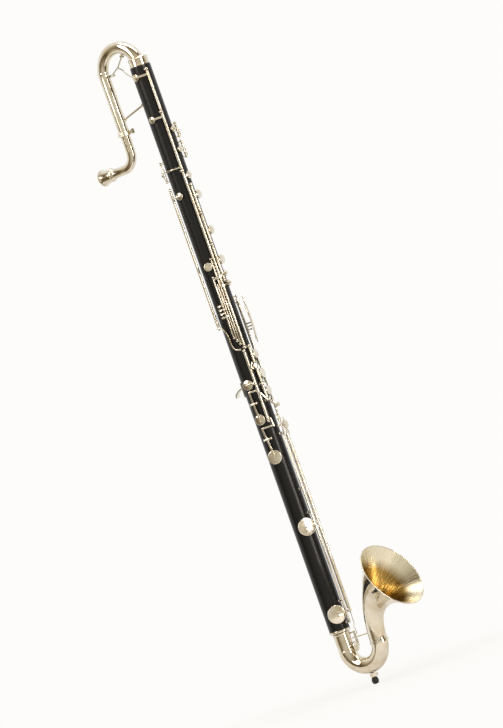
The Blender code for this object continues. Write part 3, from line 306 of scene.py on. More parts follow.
def plain(name, base, tint, roughness, grainSize, metallic=0.0, strength=0.3):
    # Speckled matt or satin finish, with its grain size in mm
    made, tree, shader = newMaterial(name, base, roughness, metallic)
    place = add(tree, "ShaderNodeTexCoord").outputs["Object"]
    grain = add(tree, "ShaderNodeTexNoise", {"Scale": 1 / (grainSize * mm), "Detail": 4.0}, {"Vector": place})
    add(tree, "ShaderNodeValToRGB", {"stops": [(0.35, base), (0.65, tint)]},
        {"Fac": grain.outputs["Fac"]}, shader.inputs["Base Color"])
    add(tree, "ShaderNodeBump", {"Strength": strength, "Distance": 0.2 * mm},
        {"Height": grain.outputs["Fac"]}, shader.inputs["Normal"])
    return made


nickel = nickelPlate("polished_nickel_plate", "efebe2", "dbd2c0", 0.1, 0.2)
tubeNickel = nickelPlate("drawn_nickel_tube", "ece7dc", "d9cfba", 0.06, 0.14)
wood = grenadilla()
lining = bellLining()
# Tanned kid is matt and cream, cut cork brown with dark specks, moulded rubber dull and nearly black, and
# heat-blued steel a dark satin blue
padSkin = plain("kid_pad_skin", "d8cdb4", "bfb093", 0.7, 1.2)
corkSheet = plain("sheet_cork", "a9794c", "6f4a2a", 0.85, 1.6, strength=0.6)
rubber = plain("moulded_rubber", "161616", "222120", 0.75, 0.8)
blueSteel = plain("blued_spring_steel", "3a4152", "5a5560", 0.3, 2.0, 1.0, 0.1)
print("materials made")

# Keys, as in the model: rod is (angle, top, bottom, radius), cup is (angle, station, diameter), a touch is
# (angle, station, reach, width, length), a blade is (angle, top, bottom, reach, width) and an arm is a list of
# (angle, reach, station). Stations are mm below the body's top, reaches mm above its surface. vent and hole are
# a hole's radius, bore a tube's own hole, and core is (top, radius) of a thin rod that runs on above it.
# standoff is a rod's reach where it isn't the usual one, over the reach of a cup's arm on its way round the
# body, and cupArm the station where that arm leaves the rod.
keys = {
    "register_upper_key": dict(rod=(238, 14, 91.8, 2.8), cup=(176, 20, 14), vent=2.0,
                               arms=[[(176, 5.0, 20), (150, 6.5, 12), (118, 11.0, 4), (97, 18.5, -3)]]),
    "register_lower_key": dict(rod=(238, 98.6, 209.8, 2.8), cup=(185, 105, 13), vent=2.0,
                               arms=[[(238, 6.0, 206), (205, 7.0, 206), (166, 6.6, 206)]]),
    "thumb_key": dict(rod=(132, 190, 221, 2.0), touches=[(104, 208, 10.5, 11, 13)],
                      arms=[[(132, 6.0, 208), (118, 9.4, 208), (104, 10.4, 208)],
                            [(132, 6.0, 200), (146, 8.0, 200), (160, 8.0, 202)]]),
    "throat_a_key": dict(rod=(302, 126, 146, 2.2), cup=(276, 133, 13), touches=[(326, 141, 9.5, 10, 15)],
                         arms=[[(302, 6.0, 141), (314, 9.0, 141), (326, 9.4, 141)]]),
    "throat_gsharp_key": dict(rod=(302, 162, 186, 2.2), cup=(276, 173, 14), touches=[(326, 180, 9.5, 10, 16)],
                              arms=[[(302, 6.0, 180), (314, 9.0, 180), (326, 9.4, 180)]]),
    "bridge_key": dict(rod=(140, 244, 512, 2.8), cup=(187, 257, 14),
                       arms=[[(140, 6.0, 508), (158, 6.4, 514), (176, 5.2, 524), (184, 4.4, 536),
                              (185, 4.4, 552), (194, 5.0, 562), (208, 6.0, 565.5), (217, 6.6, 566)]]),
    "side_key_1": dict(rod=(226.5, 390, 554, 1.6), cup=(204.5, 400, 16), open=True,
                       touches=[(196, 499.5, 11.8, 6.4, 4.8)],
                       arms=[[(226.5, 6.0, 499.5), (217, 10.4, 499.5), (206, 11.8, 499.5),
                              (196, 11.7, 499.5)]]),
    "side_key_2": dict(rod=(208.5, 424, 540, 1.6), cup=(284, 420, 13), over=11.0, cupArm=426,
                       touches=[(196, 492, 11.8, 6.4, 4.8)],
                       arms=[[(208.5, 6.0, 492), (204, 10.4, 492), (196, 11.7, 492)]]),
    "side_key_3": dict(rod=(217.5, 440, 547, 1.6), cup=(284, 440, 13), over=11.0, cupArm=443,
                       touches=[(196, 484.5, 11.8, 6.4, 4.8)],
                       arms=[[(217.5, 6.0, 484.5), (209, 10.8, 484.5), (196, 11.7, 484.5)]]),
    "side_key_4": dict(rod=(238, 216.6, 561, 2.8), cup=(268, 224, 14), touches=[(196, 477, 11.8, 6.4, 4.8)],
                       arms=[[(238, 6.0, 477), (228, 10.6, 477), (210, 11.9, 477), (196, 11.7, 477)]]),
    "left_hand_key_1": dict(rod=(254, 246, 296, 2.8), cup=(284, 264, 17), open=True),
    "left_hand_key_2": dict(rod=(254, 302.8, 358, 2.8), cup=(284, 335, 17), open=True),
    "left_hand_key_3": dict(rod=(254, 364.8, 430, 2.8), cup=(284, 394, 18), open=True),
    "left_little_key_1": dict(rod=(312, 470, 672, 1.6), cup=(352, 664, 17), blade=(286, 466, 564, 17.5, 8.5),
                              arms=[[(312, 6.0, 524), (303, 12.0, 524), (286, 17.3, 524)]]),
    "left_little_key_2": dict(rod=(322, 476, 636, 1.6), cup=(352, 628, 17), blade=(298, 478, 562, 15.5, 8.0),
                              arms=[[(322, 6.0, 530), (312, 10.6, 530), (298, 15.3, 530)]]),
    "left_little_key_3": dict(rod=(332, 482, 600, 1.6), cup=(354, 592, 16), blade=(310, 490, 558, 13.5, 8.0),
                              arms=[[(332, 6.0, 536), (322, 10.0, 536), (310, 13.3, 536)]]),
    "right_hand_key_1": dict(rod=(258, 568, 597, 2.8), cup=(288, 582, 18), open=True),
    "right_hand_key_2": dict(rod=(258, 603.8, 636, 2.8), cup=(288, 620, 18), open=True),
    "right_hand_key_3": dict(rod=(258, 642.8, 668, 2.8), cup=(288, 655, 18), open=True),
    "f_key": dict(rod=(229, 574, 706, 2.8), cup=(194, 634, 19.5), touches=[(244, 603, 11.0, 14, 14)],
                  arms=[[(229, 6.0, 603), (236, 10.0, 603), (244, 10.9, 603)],
                        [(229, 6.0, 702), (238, 9.0, 708), (241, 9.4, 722)]]),
    "g_sharp_key": dict(rod=(304, 676, 702, 2.0), touches=[(286, 686, 15.5, 13, 9)],
                        arms=[[(304, 6.0, 690), (298, 11.0, 688), (286, 15.3, 686)],
                              [(286, 15.3, 686), (268, 13.4, 683), (250, 13.0, 672), (232, 12.8, 656),
                               (218, 10.4, 648)]]),
    "low_f_key": dict(rod=(285, 744, 925, 3.65), standoff=12.5, cup=(230, 921, 34), open=True, bore=2.1,
                      cupArm=917, hole=10.0, touches=[(276, 719, 17.0, 10, 15)],
                      arms=[[(285, 12.5, 747), (281, 17.5, 744), (277, 17.4, 730), (276, 16.9, 719)]]),
    "low_e_key": dict(rod=(272, 742, 1112, 2.1), standoff=8.0, cup=(225, 1095, 35), open=True, cupArm=1092,
                      hole=10.0, touches=[(262, 712, 14.0, 10, 15)],
                      arms=[[(272, 8.0, 745), (267, 12.0, 741), (263, 14.2, 728), (262, 13.9, 712)]]),
    "low_e_flat_key": dict(rod=(285, 929, 1091, 3.65), standoff=12.5, core=(729, 1.7), open=True,
                           touches=[(292, 726, 17.6, 9, 14)],
                           arms=[[(285, 12.5, 734), (289, 16.5, 731), (292, 17.5, 727)],
                                 [(285, 12.5, 1079), (295, 12.5, 1086), (299, 10.5, 1100), (299, 9.5, 1124)]]),
}
rockers = {  # bar is (station, from angle, to angle), pivot is (station, first angle, last angle)
    "g_sharp_lever": dict(cup=(194, 703, 20.5), bar=(648, 189, 217), pivot=(671, 177, 206)),
    "f_sharp_lever": dict(cup=(201, 778, 27), bar=(720, 191, 241), pivot=(742, 183, 215)),
}
padNodes = {"f_key": "f_pad", "low_f_key": "low_f_pad", "low_e_key": "low_e_pad", "side_key_1": "side_1_pad",
            "g_sharp_lever": "g_sharp_pad", "f_sharp_lever": "f_sharp_pad"}


def domeHeight(radius):
    return 0.5 + radius * 0.045  # large cups are domed higher


def cupShape(spot, radius, floor, ceiling):
    wall = keywork["cupWall"]  # pressed cup: domed, with a rounded edge
    crown, dome, flat = ceiling + wall, domeHeight(radius), radius - 1.2
    skirt = floor + keywork["padThickness"] * 0.35
    profile = [(0, ceiling), (radius - wall, ceiling), (radius - wall, skirt),
               (radius - wall * 0.5, skirt - 0.15), (radius, skirt), (radius, crown - 0.9),
               (radius - 0.15, crown - 0.45), (radius - 0.6, crown - 0.12), (flat, crown)]
    steps = 7
    for i in range(1, steps):
        share = i / steps
        profile.append((flat * (1 - share), crown + dome * math.sin(share * math.pi / 2)))
    profile.append((0, crown + dome))
    return lathe(profile, keywork["cupSides"], spot)


def padShape(spot, radius, floor, ceiling):
    edge = radius - keywork["cupWall"] - keywork["gap"]  # skin over felt, a little hollow in the middle
    top = ceiling - keywork["gap"]
    profile = [(0, floor + 0.25), (edge * 0.5, floor + 0.22), (edge * 0.68, floor + 0.12),
               (edge * 0.8, floor), (edge - 0.5, floor + 0.05), (edge - 0.1, floor + 0.45),
               (edge, floor + 0.9), (edge, top), (0, top)]
    return lathe(profile, keywork["cupSides"], spot)


def rodShape(angle, reach, top, bottom, radius):
    low, high = station(bottom), station(top)  # hinge tube with a turned collar at each end
    length = (high - low) / mm
    spot = Matrix.Translation(around(angle, reach, low))
    edge = radius * 0.12
    half = [(0, 0), (radius - edge, 0), (radius, edge), (radius, 1.5), (radius - edge, 1.6),
            (radius - edge, 1.9), (radius - edge * 0.5, 2.1)]
    return lathe(half + [(r, length - z) for r, z in half[::-1]], keywork["rodSides"], spot)


def touchShape(angle, down, reach, width, length):
    half = keywork["touchThickness"] / 2  # cushion-shaped fingerpiece, slightly dished
    profile = [(0, -half), (0.9, -half), (0.99, -half * 0.6), (1, 0), (0.97, half * 0.7), (0.88, half),
               (0.7, half * 0.9), (0.35, half * 0.55), (0, half * 0.45)]
    shape = lathe([(r / mm, h) for r, h in profile], 40)  # one metre in radius, scaled below
    spot = facing(angle, station(down)) @ Matrix.Translation((0, 0, (tube["radius"] + reach) * mm))
    return moved(shape, spot @ Matrix.Diagonal((width * mm / 2, length * mm / 2, 1, 1)))


def bladeShape(angle, top, bottom, reach, width):
    steps = 26  # long little-finger lever, widest a little below its middle
    low, length = station(bottom), (bottom - top) * mm
    points, widths = [], []
    for i in range(steps + 1):
        share = 0.01 + 0.98 * i / steps
        widths.append(width * math.sin(math.pi * share) ** 0.6 * (1.15 - 0.75 * share))
        bow = 2.5 * math.sin(math.pi * share) + keywork["touchThickness"] / 2
        height = (tube["radius"] + reach + bow) * mm
        points.append(facing(angle, 0) @ Vector((0, low + length * share, height)))
    return ribbon(points, widths, keywork["touchThickness"], corner=0.6)


def rooted(points, key):
    if "bore" in key:  # an arm starts on a bored tube's wall, clear of what runs through it
        points[0] = points[0] + (points[1] - points[0]).normalized() * ((key["rod"][3] + 0.4) * mm)
    return points


def armShape(waypoints, width, key):
    points = rooted([around(a, tube["radius"] + r, station(d)) for a, r, d in waypoints], key)
    path = smoothPath(points, 7)
    count = len(path) - 1
    waisted = [width * (1.08 - 0.34 * math.sin(math.pi * i / count)) for i in range(count + 1)]
    return ribbon(path, waisted, keywork["armThickness"])


def cupArmShape(key, reach):
    rodAngle = key["rod"][0]
    angle, down, diameter = key["cup"]
    radius = diameter / 2
    height, armHeight = station(down), station(key.get("cupArm", down))
    side = math.sin(math.radians(rodAngle - angle))
    spot = facing(angle, 0)
    dome = domeHeight(radius)
    end = spot @ Vector((0, height, (cupTop + dome + 0.2) * mm))
    start = around(rodAngle, reach, armHeight)
    if "over" in key:
        path = [start]
        for share in (0.14, 0.38, 0.62, 0.84):
            path.append(around(rodAngle + (angle - rodAngle) * share, tube["radius"] + key["over"],
                               armHeight + (height - armHeight) * share))
    else:
        out = math.copysign(min(radius + 2.0, abs(side) * reach * 0.8), side)
        knee = Vector((out * mm, height * 0.6 + armHeight * 0.4, (cupTop + 1.2) * mm))
        edge = Vector((out * 0.55 * mm, height * 0.8 + armHeight * 0.2,
                       (cupTop + dome * 0.75 + 0.5) * mm))
        path = [start, spot @ knee, spot @ edge]
    past = -math.copysign(min(radius * 0.35, 3), side)
    tip = spot @ Vector((past * mm, height, (cupTop + dome + 0.1) * mm))
    smooth = smoothPath(rooted([*path, end, tip], key), 6)
    count = len(smooth) - 1
    widths = [keywork["armWidth"] * (1.1 - 0.38 * i / count) for i in range(count + 1)]
    return ribbon(smooth, widths, keywork["armThickness"])


def standsOpen(body):
    joint = joints[body]  # turn that carries a closed key to its open rest
    origin = Vector(joint["pos_m"])
    turn = Matrix.Rotation(-math.radians(joint["range_deg"][1]), 4, Vector(joint["axis"]))
    return Matrix.Translation(origin) @ turn @ Matrix.Translation(-origin)


def makeKeys():
    for name, key in keys.items():
        angle, top, bottom, radius = key["rod"]
        reach = tube["radius"] + key.get("standoff", keywork["standoff"])
        shapes, pads = [], []
        if "bore" in key:
            spot = Matrix.Translation(around(angle, reach, station(bottom)))
            length = bottom - top
            wall = [(radius, 0), (radius, length), (key["bore"], length), (key["bore"], 0)]
            shapes.append(lathe(wall, keywork["rodSides"], spot, closed=True))
        else:
            shapes.append(rodShape(angle, reach, top, bottom, radius))
        if "core" in key:
            shapes.append(rodShape(angle, reach, key["core"][0], top + 1, key["core"][1]))
        for waypoints in key.get("arms", []):
            shapes.append(armShape(waypoints, keywork["armWidth"] * 0.85, key))
        shapes += [touchShape(*touch) for touch in key.get("touches", [])]
        if "blade" in key:
            shapes.append(bladeShape(*key["blade"]))
        if "cup" in key:
            cupAngle, down, diameter = key["cup"]
            spot = facing(cupAngle, station(down))
            shapes += [cupShape(spot, diameter / 2, padFloor, cupCeiling), cupArmShape(key, reach)]
            pads.append(padShape(spot, diameter / 2, padFloor, cupCeiling))
        if key.get("open"):
            turn = standsOpen(name)
            shapes = [moved(shape, turn) for shape in shapes]
            pads = [moved(shape, turn) for shape in pads]
        piece(name + "_fine", shapes, nickel, name, [name])
        if pads:
            stem = name.replace("_key", "")
            nodes = [padNodes[name]] if name in padNodes else []
            piece(stem + "_pad_fine", pads, padSkin, name, nodes)
    print("keys made")


def makeRockers():
    for name, lever in rockers.items():
        angle, down, diameter = lever["cup"]
        barDown, barFrom, barTo = lever["bar"]
        reach = tube["radius"] + keywork["standoff"]
        spot = facing(angle, station(down))
        start, end = rockerEnds(lever)
        shank = smoothPath([around(barFrom, reach, station(barDown)),
                            around((barFrom + angle) / 2, reach, station(lever["pivot"][0])),
                            around(angle, cupTop + 1.2, station(down) + diameter * mm * 0.4),
                            around(angle, cupTop + 1.7, station(down)),
                            around(angle, cupTop + 1.5, station(down) - 3 * mm)], 8)
        bar = [around(barFrom + (barTo - barFrom) * i / 10, reach, station(barDown)) for i in range(11)]
        length = (end - start).length / mm
        sleeve = lathe([(0, 0), (keywork["sleeve"], 0), (keywork["sleeve"], length), (0, length)],
                       keywork["rodSides"], along(start, end))
        shapes = [ribbon(shank, 3.6, 1.8), ribbon(bar, 3.0, 1.6), sleeve,
                  cupShape(spot, diameter / 2, padFloor, cupCeiling)]
        piece(name + "_fine", shapes, nickel, name, [name])
        piece(name + "_pad_fine", [padShape(spot, diameter / 2, padFloor, cupCeiling)], padSkin, name,
              [padNodes[name]])
    print("levers made")


def rockerEnds(lever):
    down, first, last = lever["pivot"]
    reach = tube["radius"] + keywork["standoff"]
    half = reach * math.sin(math.radians((last - first) / 2)) - 3.0
    spot = facing((first + last) / 2, station(down))
    return spot @ Vector((-half * mm, 0, reach * mm)), spot @ Vector((half * mm, 0, reach * mm))


# The wooden tube. A tone hole is a rim with a shallow well: the wall under it isn't cut through.
def makeBody():
    high = (bodyTop - bodyFoot) / mm
    radius, bore = tube["radius"], tube["bore"]
    wall = [(radius - 0.6, 0), (radius, 0.6), (radius, high - 0.8), (radius - 0.8, high),
            (tube["topSocket"], high), (tube["topSocket"], high - 12), (bore, high - 12),
            (bore, 20), (tube["footSocket"], 20), (tube["footSocket"], 0)]
    shapes = [lathe(wall, tube["sides"], Matrix.Translation((0, axisY, bodyFoot)), closed=True)]
    for key in [*keys.values(), *rockers.values()]:
        if "cup" in key:
            angle, down, diameter = key["cup"]
            hole = key.get("vent", key.get("hole", diameter / 2 - 3))
            top = radius + tube["rimHeight"]
            outside = hole + tube["rimWall"]
            rim = [(hole, bore + 1), (hole, top), (hole + 0.4, top + 0.1), (outside, top - 0.3),
                   (outside + 0.8, radius - 3.5), (outside, bore + 1)]
            shapes.append(lathe(rim, 40, facing(angle, station(down)), closed=True))
    piece("body_tube_fine", shapes, wood, "frame", ["body_tube"])
    print("body made")


# Pillars: one stem, one ball and one screw, set out by Geometry Nodes
pillar = dict(sunk=1.2, foot=2.4, stemLength=10, rockerBall=2.35, screw=1.25, screwWaist=0.8)


def pillarPlaces():
    spots = []
    for key in keys.values():
        if "bore" in key:
            continue
        angle, top, bottom, radius = key["rod"]
        reach = tube["radius"] + key.get("standoff", keywork["standoff"])
        ball = radius + keywork["ballMargin"]
        step = (ball + keywork["gap"]) * mm
        high = station(key["core"][0] if "core" in key else top) + step
        for height in (high, station(bottom) - step):
            if not any(o[0] == angle and abs(o[1] - height) < 0.0006 for o in spots):
                spots.append((angle, height, reach, ball))
    return spots


def scatter(name, original, rows, finish):
    cloud = bpy.data.meshes.new(name)  # rows are (place, turn, size)
    cloud.from_pydata([row[0] for row in rows], [], [])
    for column, title in ((1, "turn"), (2, "size")):
        layer = cloud.attributes.new(title, "FLOAT_VECTOR", "POINT")
        for i, row in enumerate(rows):
            layer.data[i].vector = row[column]
    obj = bpy.data.objects.new(name, cloud)
    bpy.context.scene.collection.objects.link(obj)
    tree = bpy.data.node_groups.new(name + "_tree", "GeometryNodeTree")
    tree.interface.new_socket("Geometry", in_out="INPUT", socket_type="NodeSocketGeometry")
    tree.interface.new_socket("Geometry", in_out="OUTPUT", socket_type="NodeSocketGeometry")
    shape = tree.interface.new_socket("Shape", in_out="INPUT", socket_type="NodeSocketObject")
    scale = tree.interface.new_socket("Overall size", in_out="INPUT", socket_type="NodeSocketFloat")
    given = add(tree, "NodeGroupInput")
    turn = add(tree, "GeometryNodeInputNamedAttribute", {"data_type": "FLOAT_VECTOR", "Name": "turn"})
    size = add(tree, "GeometryNodeInputNamedAttribute", {"data_type": "FLOAT_VECTOR", "Name": "size"})
    sized = add(tree, "ShaderNodeVectorMath", {"operation": "SCALE"},
                {"Vector": size.outputs["Attribute"], "Scale": given.outputs["Overall size"]})
    source = add(tree, "GeometryNodeObjectInfo", links={"Object": given.outputs["Shape"]})
    copies = add(tree, "GeometryNodeInstanceOnPoints", links={
        "Points": given.outputs["Geometry"], "Instance": source.outputs["Geometry"],
        "Rotation": turn.outputs["Attribute"], "Scale": sized.outputs["Vector"]})
    real = add(tree, "GeometryNodeRealizeInstances", links={"Geometry": copies.outputs["Instances"]})
    add(tree, "GeometryNodeSetMaterial", {"Material": finish}, {"Geometry": real.outputs["Geometry"]},
        add(tree, "NodeGroupOutput").inputs["Geometry"])
    step = obj.modifiers.new("set_out", "NODES")
    step.node_group = tree
    step[shape.identifier] = original
    step[scale.identifier] = 1.0
    bpy.context.view_layer.update()
    mesh = bpy.data.meshes.new_from_object(obj.evaluated_get(bpy.context.evaluated_depsgraph_get()))
    bpy.data.objects.remove(obj)
    bpy.data.objects.remove(original)
    mesh.name = name
    mesh.shade_smooth()
    mesh.set_sharp_from_angle(angle=sharpAngle)
    made = bpy.data.objects.new(name, mesh)
    bpy.context.scene.collection.objects.link(made)
    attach(made, "frame")


def template(shape, name):
    mesh = bpy.data.meshes.new(name)
    mesh.from_pydata(shape[0], [], shape[1])
    obj = bpy.data.objects.new(name, mesh)
    bpy.context.scene.collection.objects.link(obj)
    return obj


def makePillars():
    spots = pillarPlaces()
    rows = [(facing(a, h), r, b, up) for a, h, r, b in spots]
    for lever in rockers.values():
        start, end = rockerEnds(lever)
        ahead = (end - start).normalized()
        for tip, out in ((start, -ahead), (end, ahead)):
            centre = tip + out * ((pillar["rockerBall"] + keywork["gap"]) * mm)
            angle = math.degrees(math.atan2(centre.y - axisY, centre.x))
            reach = Vector((centre.x, centre.y - axisY, 0)).length / mm
            rows.append((facing(angle, centre.z), reach, pillar["rockerBall"], out))
    stems, balls, screws = [], [], []
    for spot, reach, ball, hinge in rows:
        turn = tuple(spot.to_euler())
        root = spot @ Vector((0, 0, (tube["radius"] - pillar["sunk"]) * mm))
        middle = spot @ Vector((0, 0, reach * mm))
        length = reach - ball * 0.7 - tube["radius"] + pillar["sunk"]
        stems.append((root, turn, (1, 1, length / pillar["stemLength"])))
        balls.append((middle, turn, (ball, ball, ball)))
        screws.append((middle, tuple(hinge.to_track_quat("Z", "X").to_euler()), (1, 1, ball)))
    waist, foot = keywork["stemRadius"], pillar["foot"]
    end = pillar["stemLength"]
    stem = lathe([(0, 0), (foot, 0), (foot, 2.6), (foot - 0.3, 3.1), (waist + 0.25, 3.7), (waist, 5.0),
                  (waist - 0.1, 7.0), (waist + 0.2, end), (0, end)], 24)
    turns = [math.pi * i / 10 for i in range(1, 10)]
    ball = lathe([(0, -1), *[(math.sin(t), -math.cos(t)) for t in turns], (0, 1)], 24)
    head = pillar["screw"]  # the screw goes through the ball; its points stand in the rods' ends
    half = [(0, -1.25), (head * 0.6, -1.25), (head * 0.6, -1.02), (head, -1.02), (head, -0.9),
            (pillar["screwWaist"], -0.9)]
    screw = half + [(r, -z) for r, z in half[::-1]]
    scatter("pillar_stems", template(stem, "stem"), stems, nickel)
    scatter("pillar_balls", template(ball, "ball"), balls, nickel)
    scatter("pivot_screws", template(lathe(screw, 16), "screw"), screws, blueSteel)
    print("pillars made:", len(rows))


guide = dict(stations=(849, 897, 1073), half=1.2, wall=1.3, sunk=1.2, foot=2.3, stem=1.5)


def makeGuides():
    shapes, half = [], guide["half"]
    angle, _, _, radius = keys["low_e_key"]["rod"]
    reach = tube["radius"] + keys["low_e_key"]["standoff"]
    hole = radius + keywork["gap"]
    outside, root, tall = hole + guide["wall"], tube["radius"] - guide["sunk"], reach - hole - 0.6
    eye = [(hole, -half), (outside - 0.4, -half), (outside, 0.4 - half), (outside, half - 0.4),
           (outside - 0.4, half), (hole, half)]
    post = [(0, root), (guide["foot"], root), (guide["foot"], root + 2.4), (guide["stem"], root + 3.2),
            (guide["stem"], tall), (0, tall)]
    for down in guide["stations"]:
        shapes.append(lathe(eye, 32, Matrix.Translation(around(angle, reach, station(down))), closed=True))
        shapes.append(lathe(post, 24, facing(angle, station(down))))
    piece("rod_guides", shapes, nickel, "frame")
    print("guides made")


spring = dict(radius=0.35, length=24, shortestRod=28, below=0.8)


def makeSprings():
    shapes, length = [], spring["length"]  # needle springs, from the lower pillar along each tube
    for name, key in keys.items():
        angle, top, bottom, radius = key["rod"]
        if bottom - top < spring["shortestRod"] or name in ("low_f_key", "low_e_flat_key"):
            continue
        reach = tube["radius"] + key.get("standoff", keywork["standoff"]) - radius - spring["below"]
        low = station(bottom) - (radius * 0.5) * mm
        line = smoothPath([around(angle, reach, low), around(angle, reach - 0.3, low + length / 2 * mm),
                           around(angle + 0.6, reach + 0.1, low + length * mm)], 5)
        shapes.append(sweep(line, [spring["radius"]] * len(line), 10))
    piece("needle_springs", shapes, blueSteel, "frame")
    print("springs made")


# Neck
neck = dict(bend=44.0, rise=4.0, radius=13.0, endRadius=10.6, legEnd=113.0, wall=1.2, ventAngle=114,
            pipeBend=28.0, pipeDrop=145.0, pipeOverlap=20, socketReach=172.0, socketRadius=16.3,
            socketBore=11.0, collar=19.3, collarHeight=17.0, spigot=16.8, spigotBore=14.8)


def neckPoint(y, z):
    return Vector((0, axisY + y * mm, bodyTop + z * mm))


def makeNeck():
    bend = neck["bend"]
    centres, outer = [neckPoint(0, -10)], [neck["radius"] - 0.2]
    steps = 56
    for i in range(steps + 1):
        turn = math.pi * (1 - i / steps)
        centres.append(neckPoint(bend + bend * math.cos(turn), neck["rise"] + bend * math.sin(turn)))
        outer.append(neck["radius"] + (neck["endRadius"] - neck["radius"]) * i / steps)
    for i in range(1, 11):
        centres.append(neckPoint(2 * bend, neck["rise"] + (-neck["legEnd"] - neck["rise"]) * i / 10))
        outer.append(neck["endRadius"])
    crook = sweep(centres, outer, 64, [r - neck["wall"] for r in outer], sideways)
    # Beads at the joints of the arch, the leg and the clamp
    beads = [ringBead(centres[5], centres[6], outer[5], 2.4),
             ringBead(centres[54], centres[55], outer[54], 5.0),
             ringBead(centres[-1], centres[-2], outer[-1], 2.2)]
    vent = math.radians(neck["ventAngle"])
    out = Vector((0, -math.cos(vent), -math.sin(vent)))
    wallPoint = neckPoint(bend, neck["rise"]) - out * ((bend - 11.6) * mm)
    pip = lathe([(0.9, -0.4), (2.4, -0.4), (2.4, 2.8), (2.2, 3.0), (0.9, 3.0)], 24,
                along(wallPoint, wallPoint + out), closed=True)
    piece("neck_crook_fine", [crook, pip, *beads], tubeNickel, "frame", ["neck_crook"])

    radius = neck["endRadius"] - neck["wall"] - keywork["gap"]
    path = [neckPoint(2 * bend, -neck["legEnd"] + neck["pipeOverlap"])]
    radii, bores = [radius], [radius - neck["wall"]]
    for i in range(29):
        turn = math.pi + math.pi / 2 * i / 28
        path.append(neckPoint(2 * bend + neck["pipeBend"] * (1 + math.cos(turn)),
                              -neck["pipeDrop"] + neck["pipeBend"] * math.sin(turn)))
        radii.append(radius)
        bores.append(radius - neck["wall"])
    low = -neck["pipeDrop"] - neck["pipeBend"]
    rim, bore = neck["socketRadius"], neck["socketBore"]  # flare is (mm behind the mouth, radius, bore)
    flare = [(34, radius + 0.2, 7.9), (31, radius + 1.0, 7.9), (28, 12.2, 8.0), (24, 12.9, 8.9),
             (18, 13.5, 10.0), (12, 14.1, bore), (7, 14.7, bore), (5, 15.0, bore), (4.4, rim - 0.2, bore),
             (3.2, rim, bore), (0.8, rim, bore), (0.0, rim - 0.4, bore + 0.2)]
    for back, size, hollow in flare:
        path.append(neckPoint(neck["socketReach"] - back, low))
        radii.append(size)
        bores.append(hollow)
    pipe = sweep(path, radii, 64, bores, sideways)
    behind = neck["socketReach"] - 25
    bead = ringBead(neckPoint(behind, low), neckPoint(behind + 1, low), 12.8, 1.8)
    piece("mouthpipe_fine", [pipe, bead], tubeNickel, "mouthpipe", ["mouthpipe"])

    edge, high, spigot, inner = neck["collar"], neck["collarHeight"], neck["spigot"], neck["spigotBore"]
    profile = [(inner, -11.7), (spigot, -11.7), (spigot, 0.3), (edge - 0.4, 0.3), (edge, 0.8), (edge, 2.6),
               (edge - 0.6, 3.1), (edge - 0.6, high - 5), (edge, high - 4.4), (edge, high - 2.0),
               (edge - 0.9, high - 0.9), (edge - 1.4, high - 0.1), (16.6, high), (inner, 0.3)]
    collar = lathe(profile, 96, Matrix.Translation(neckPoint(0, 0)), closed=True)
    piece("neck_collar_fine", [collar], tubeNickel, "frame", ["neck_collar"])
    print("neck made")


def ringBead(centre, ahead, radius, width):
    half, proud = width / 2, radius + 0.75  # a rounded hoop that stands proud of the tube
    profile = [(radius - 0.4, -half), (radius + 0.35, -half), (proud, -half * 0.5), (proud, half * 0.5),
               (radius + 0.35, half), (radius - 0.4, half)]
    return lathe(profile, 64, along(centre, ahead), closed=True)


# Bow and bell
bow = dict(bend=39.4, straight=35.0, radius=16.2, tenon=20.0, tenonDrop=2.4, cork=1.4, wall=1.2, keyDrop=33.0,
           holeRadius=6.5, rim=2.6, postDrops=(7.15, 32.85), sides=64)
bell = dict(rim=69.5, throat=17.2, rimForward=158.0, rimRise=74.0, tilt=64.0, flare=2.7, startPull=63.0,
            endPull=55.0, clearance=0.3, roll=1.0, rings=84, sides=128)


def bowPoint(y, z):
    return Vector((0, axisY + y * mm, bodyFoot + z * mm))


def bellPlace(share):
    start = bowPoint(-2 * bow["bend"], -bow["straight"])
    end = bowPoint(-bell["rimForward"], bell["rimRise"])
    tilt = math.radians(bell["tilt"])
    first = start + up * (bell["startPull"] * mm)
    last = end - Vector((0, -math.sin(tilt), math.cos(tilt))) * (bell["endPull"] * mm)
    a, b = 1 - share, share
    point = start * a ** 3 + first * (3 * a * a * b) + last * (3 * a * b * b) + end * b ** 3
    slope = (first - start) * (3 * a * a) + (last - first) * (6 * a * b) + (end - last) * (3 * b * b)
    return point, slope.normalized()


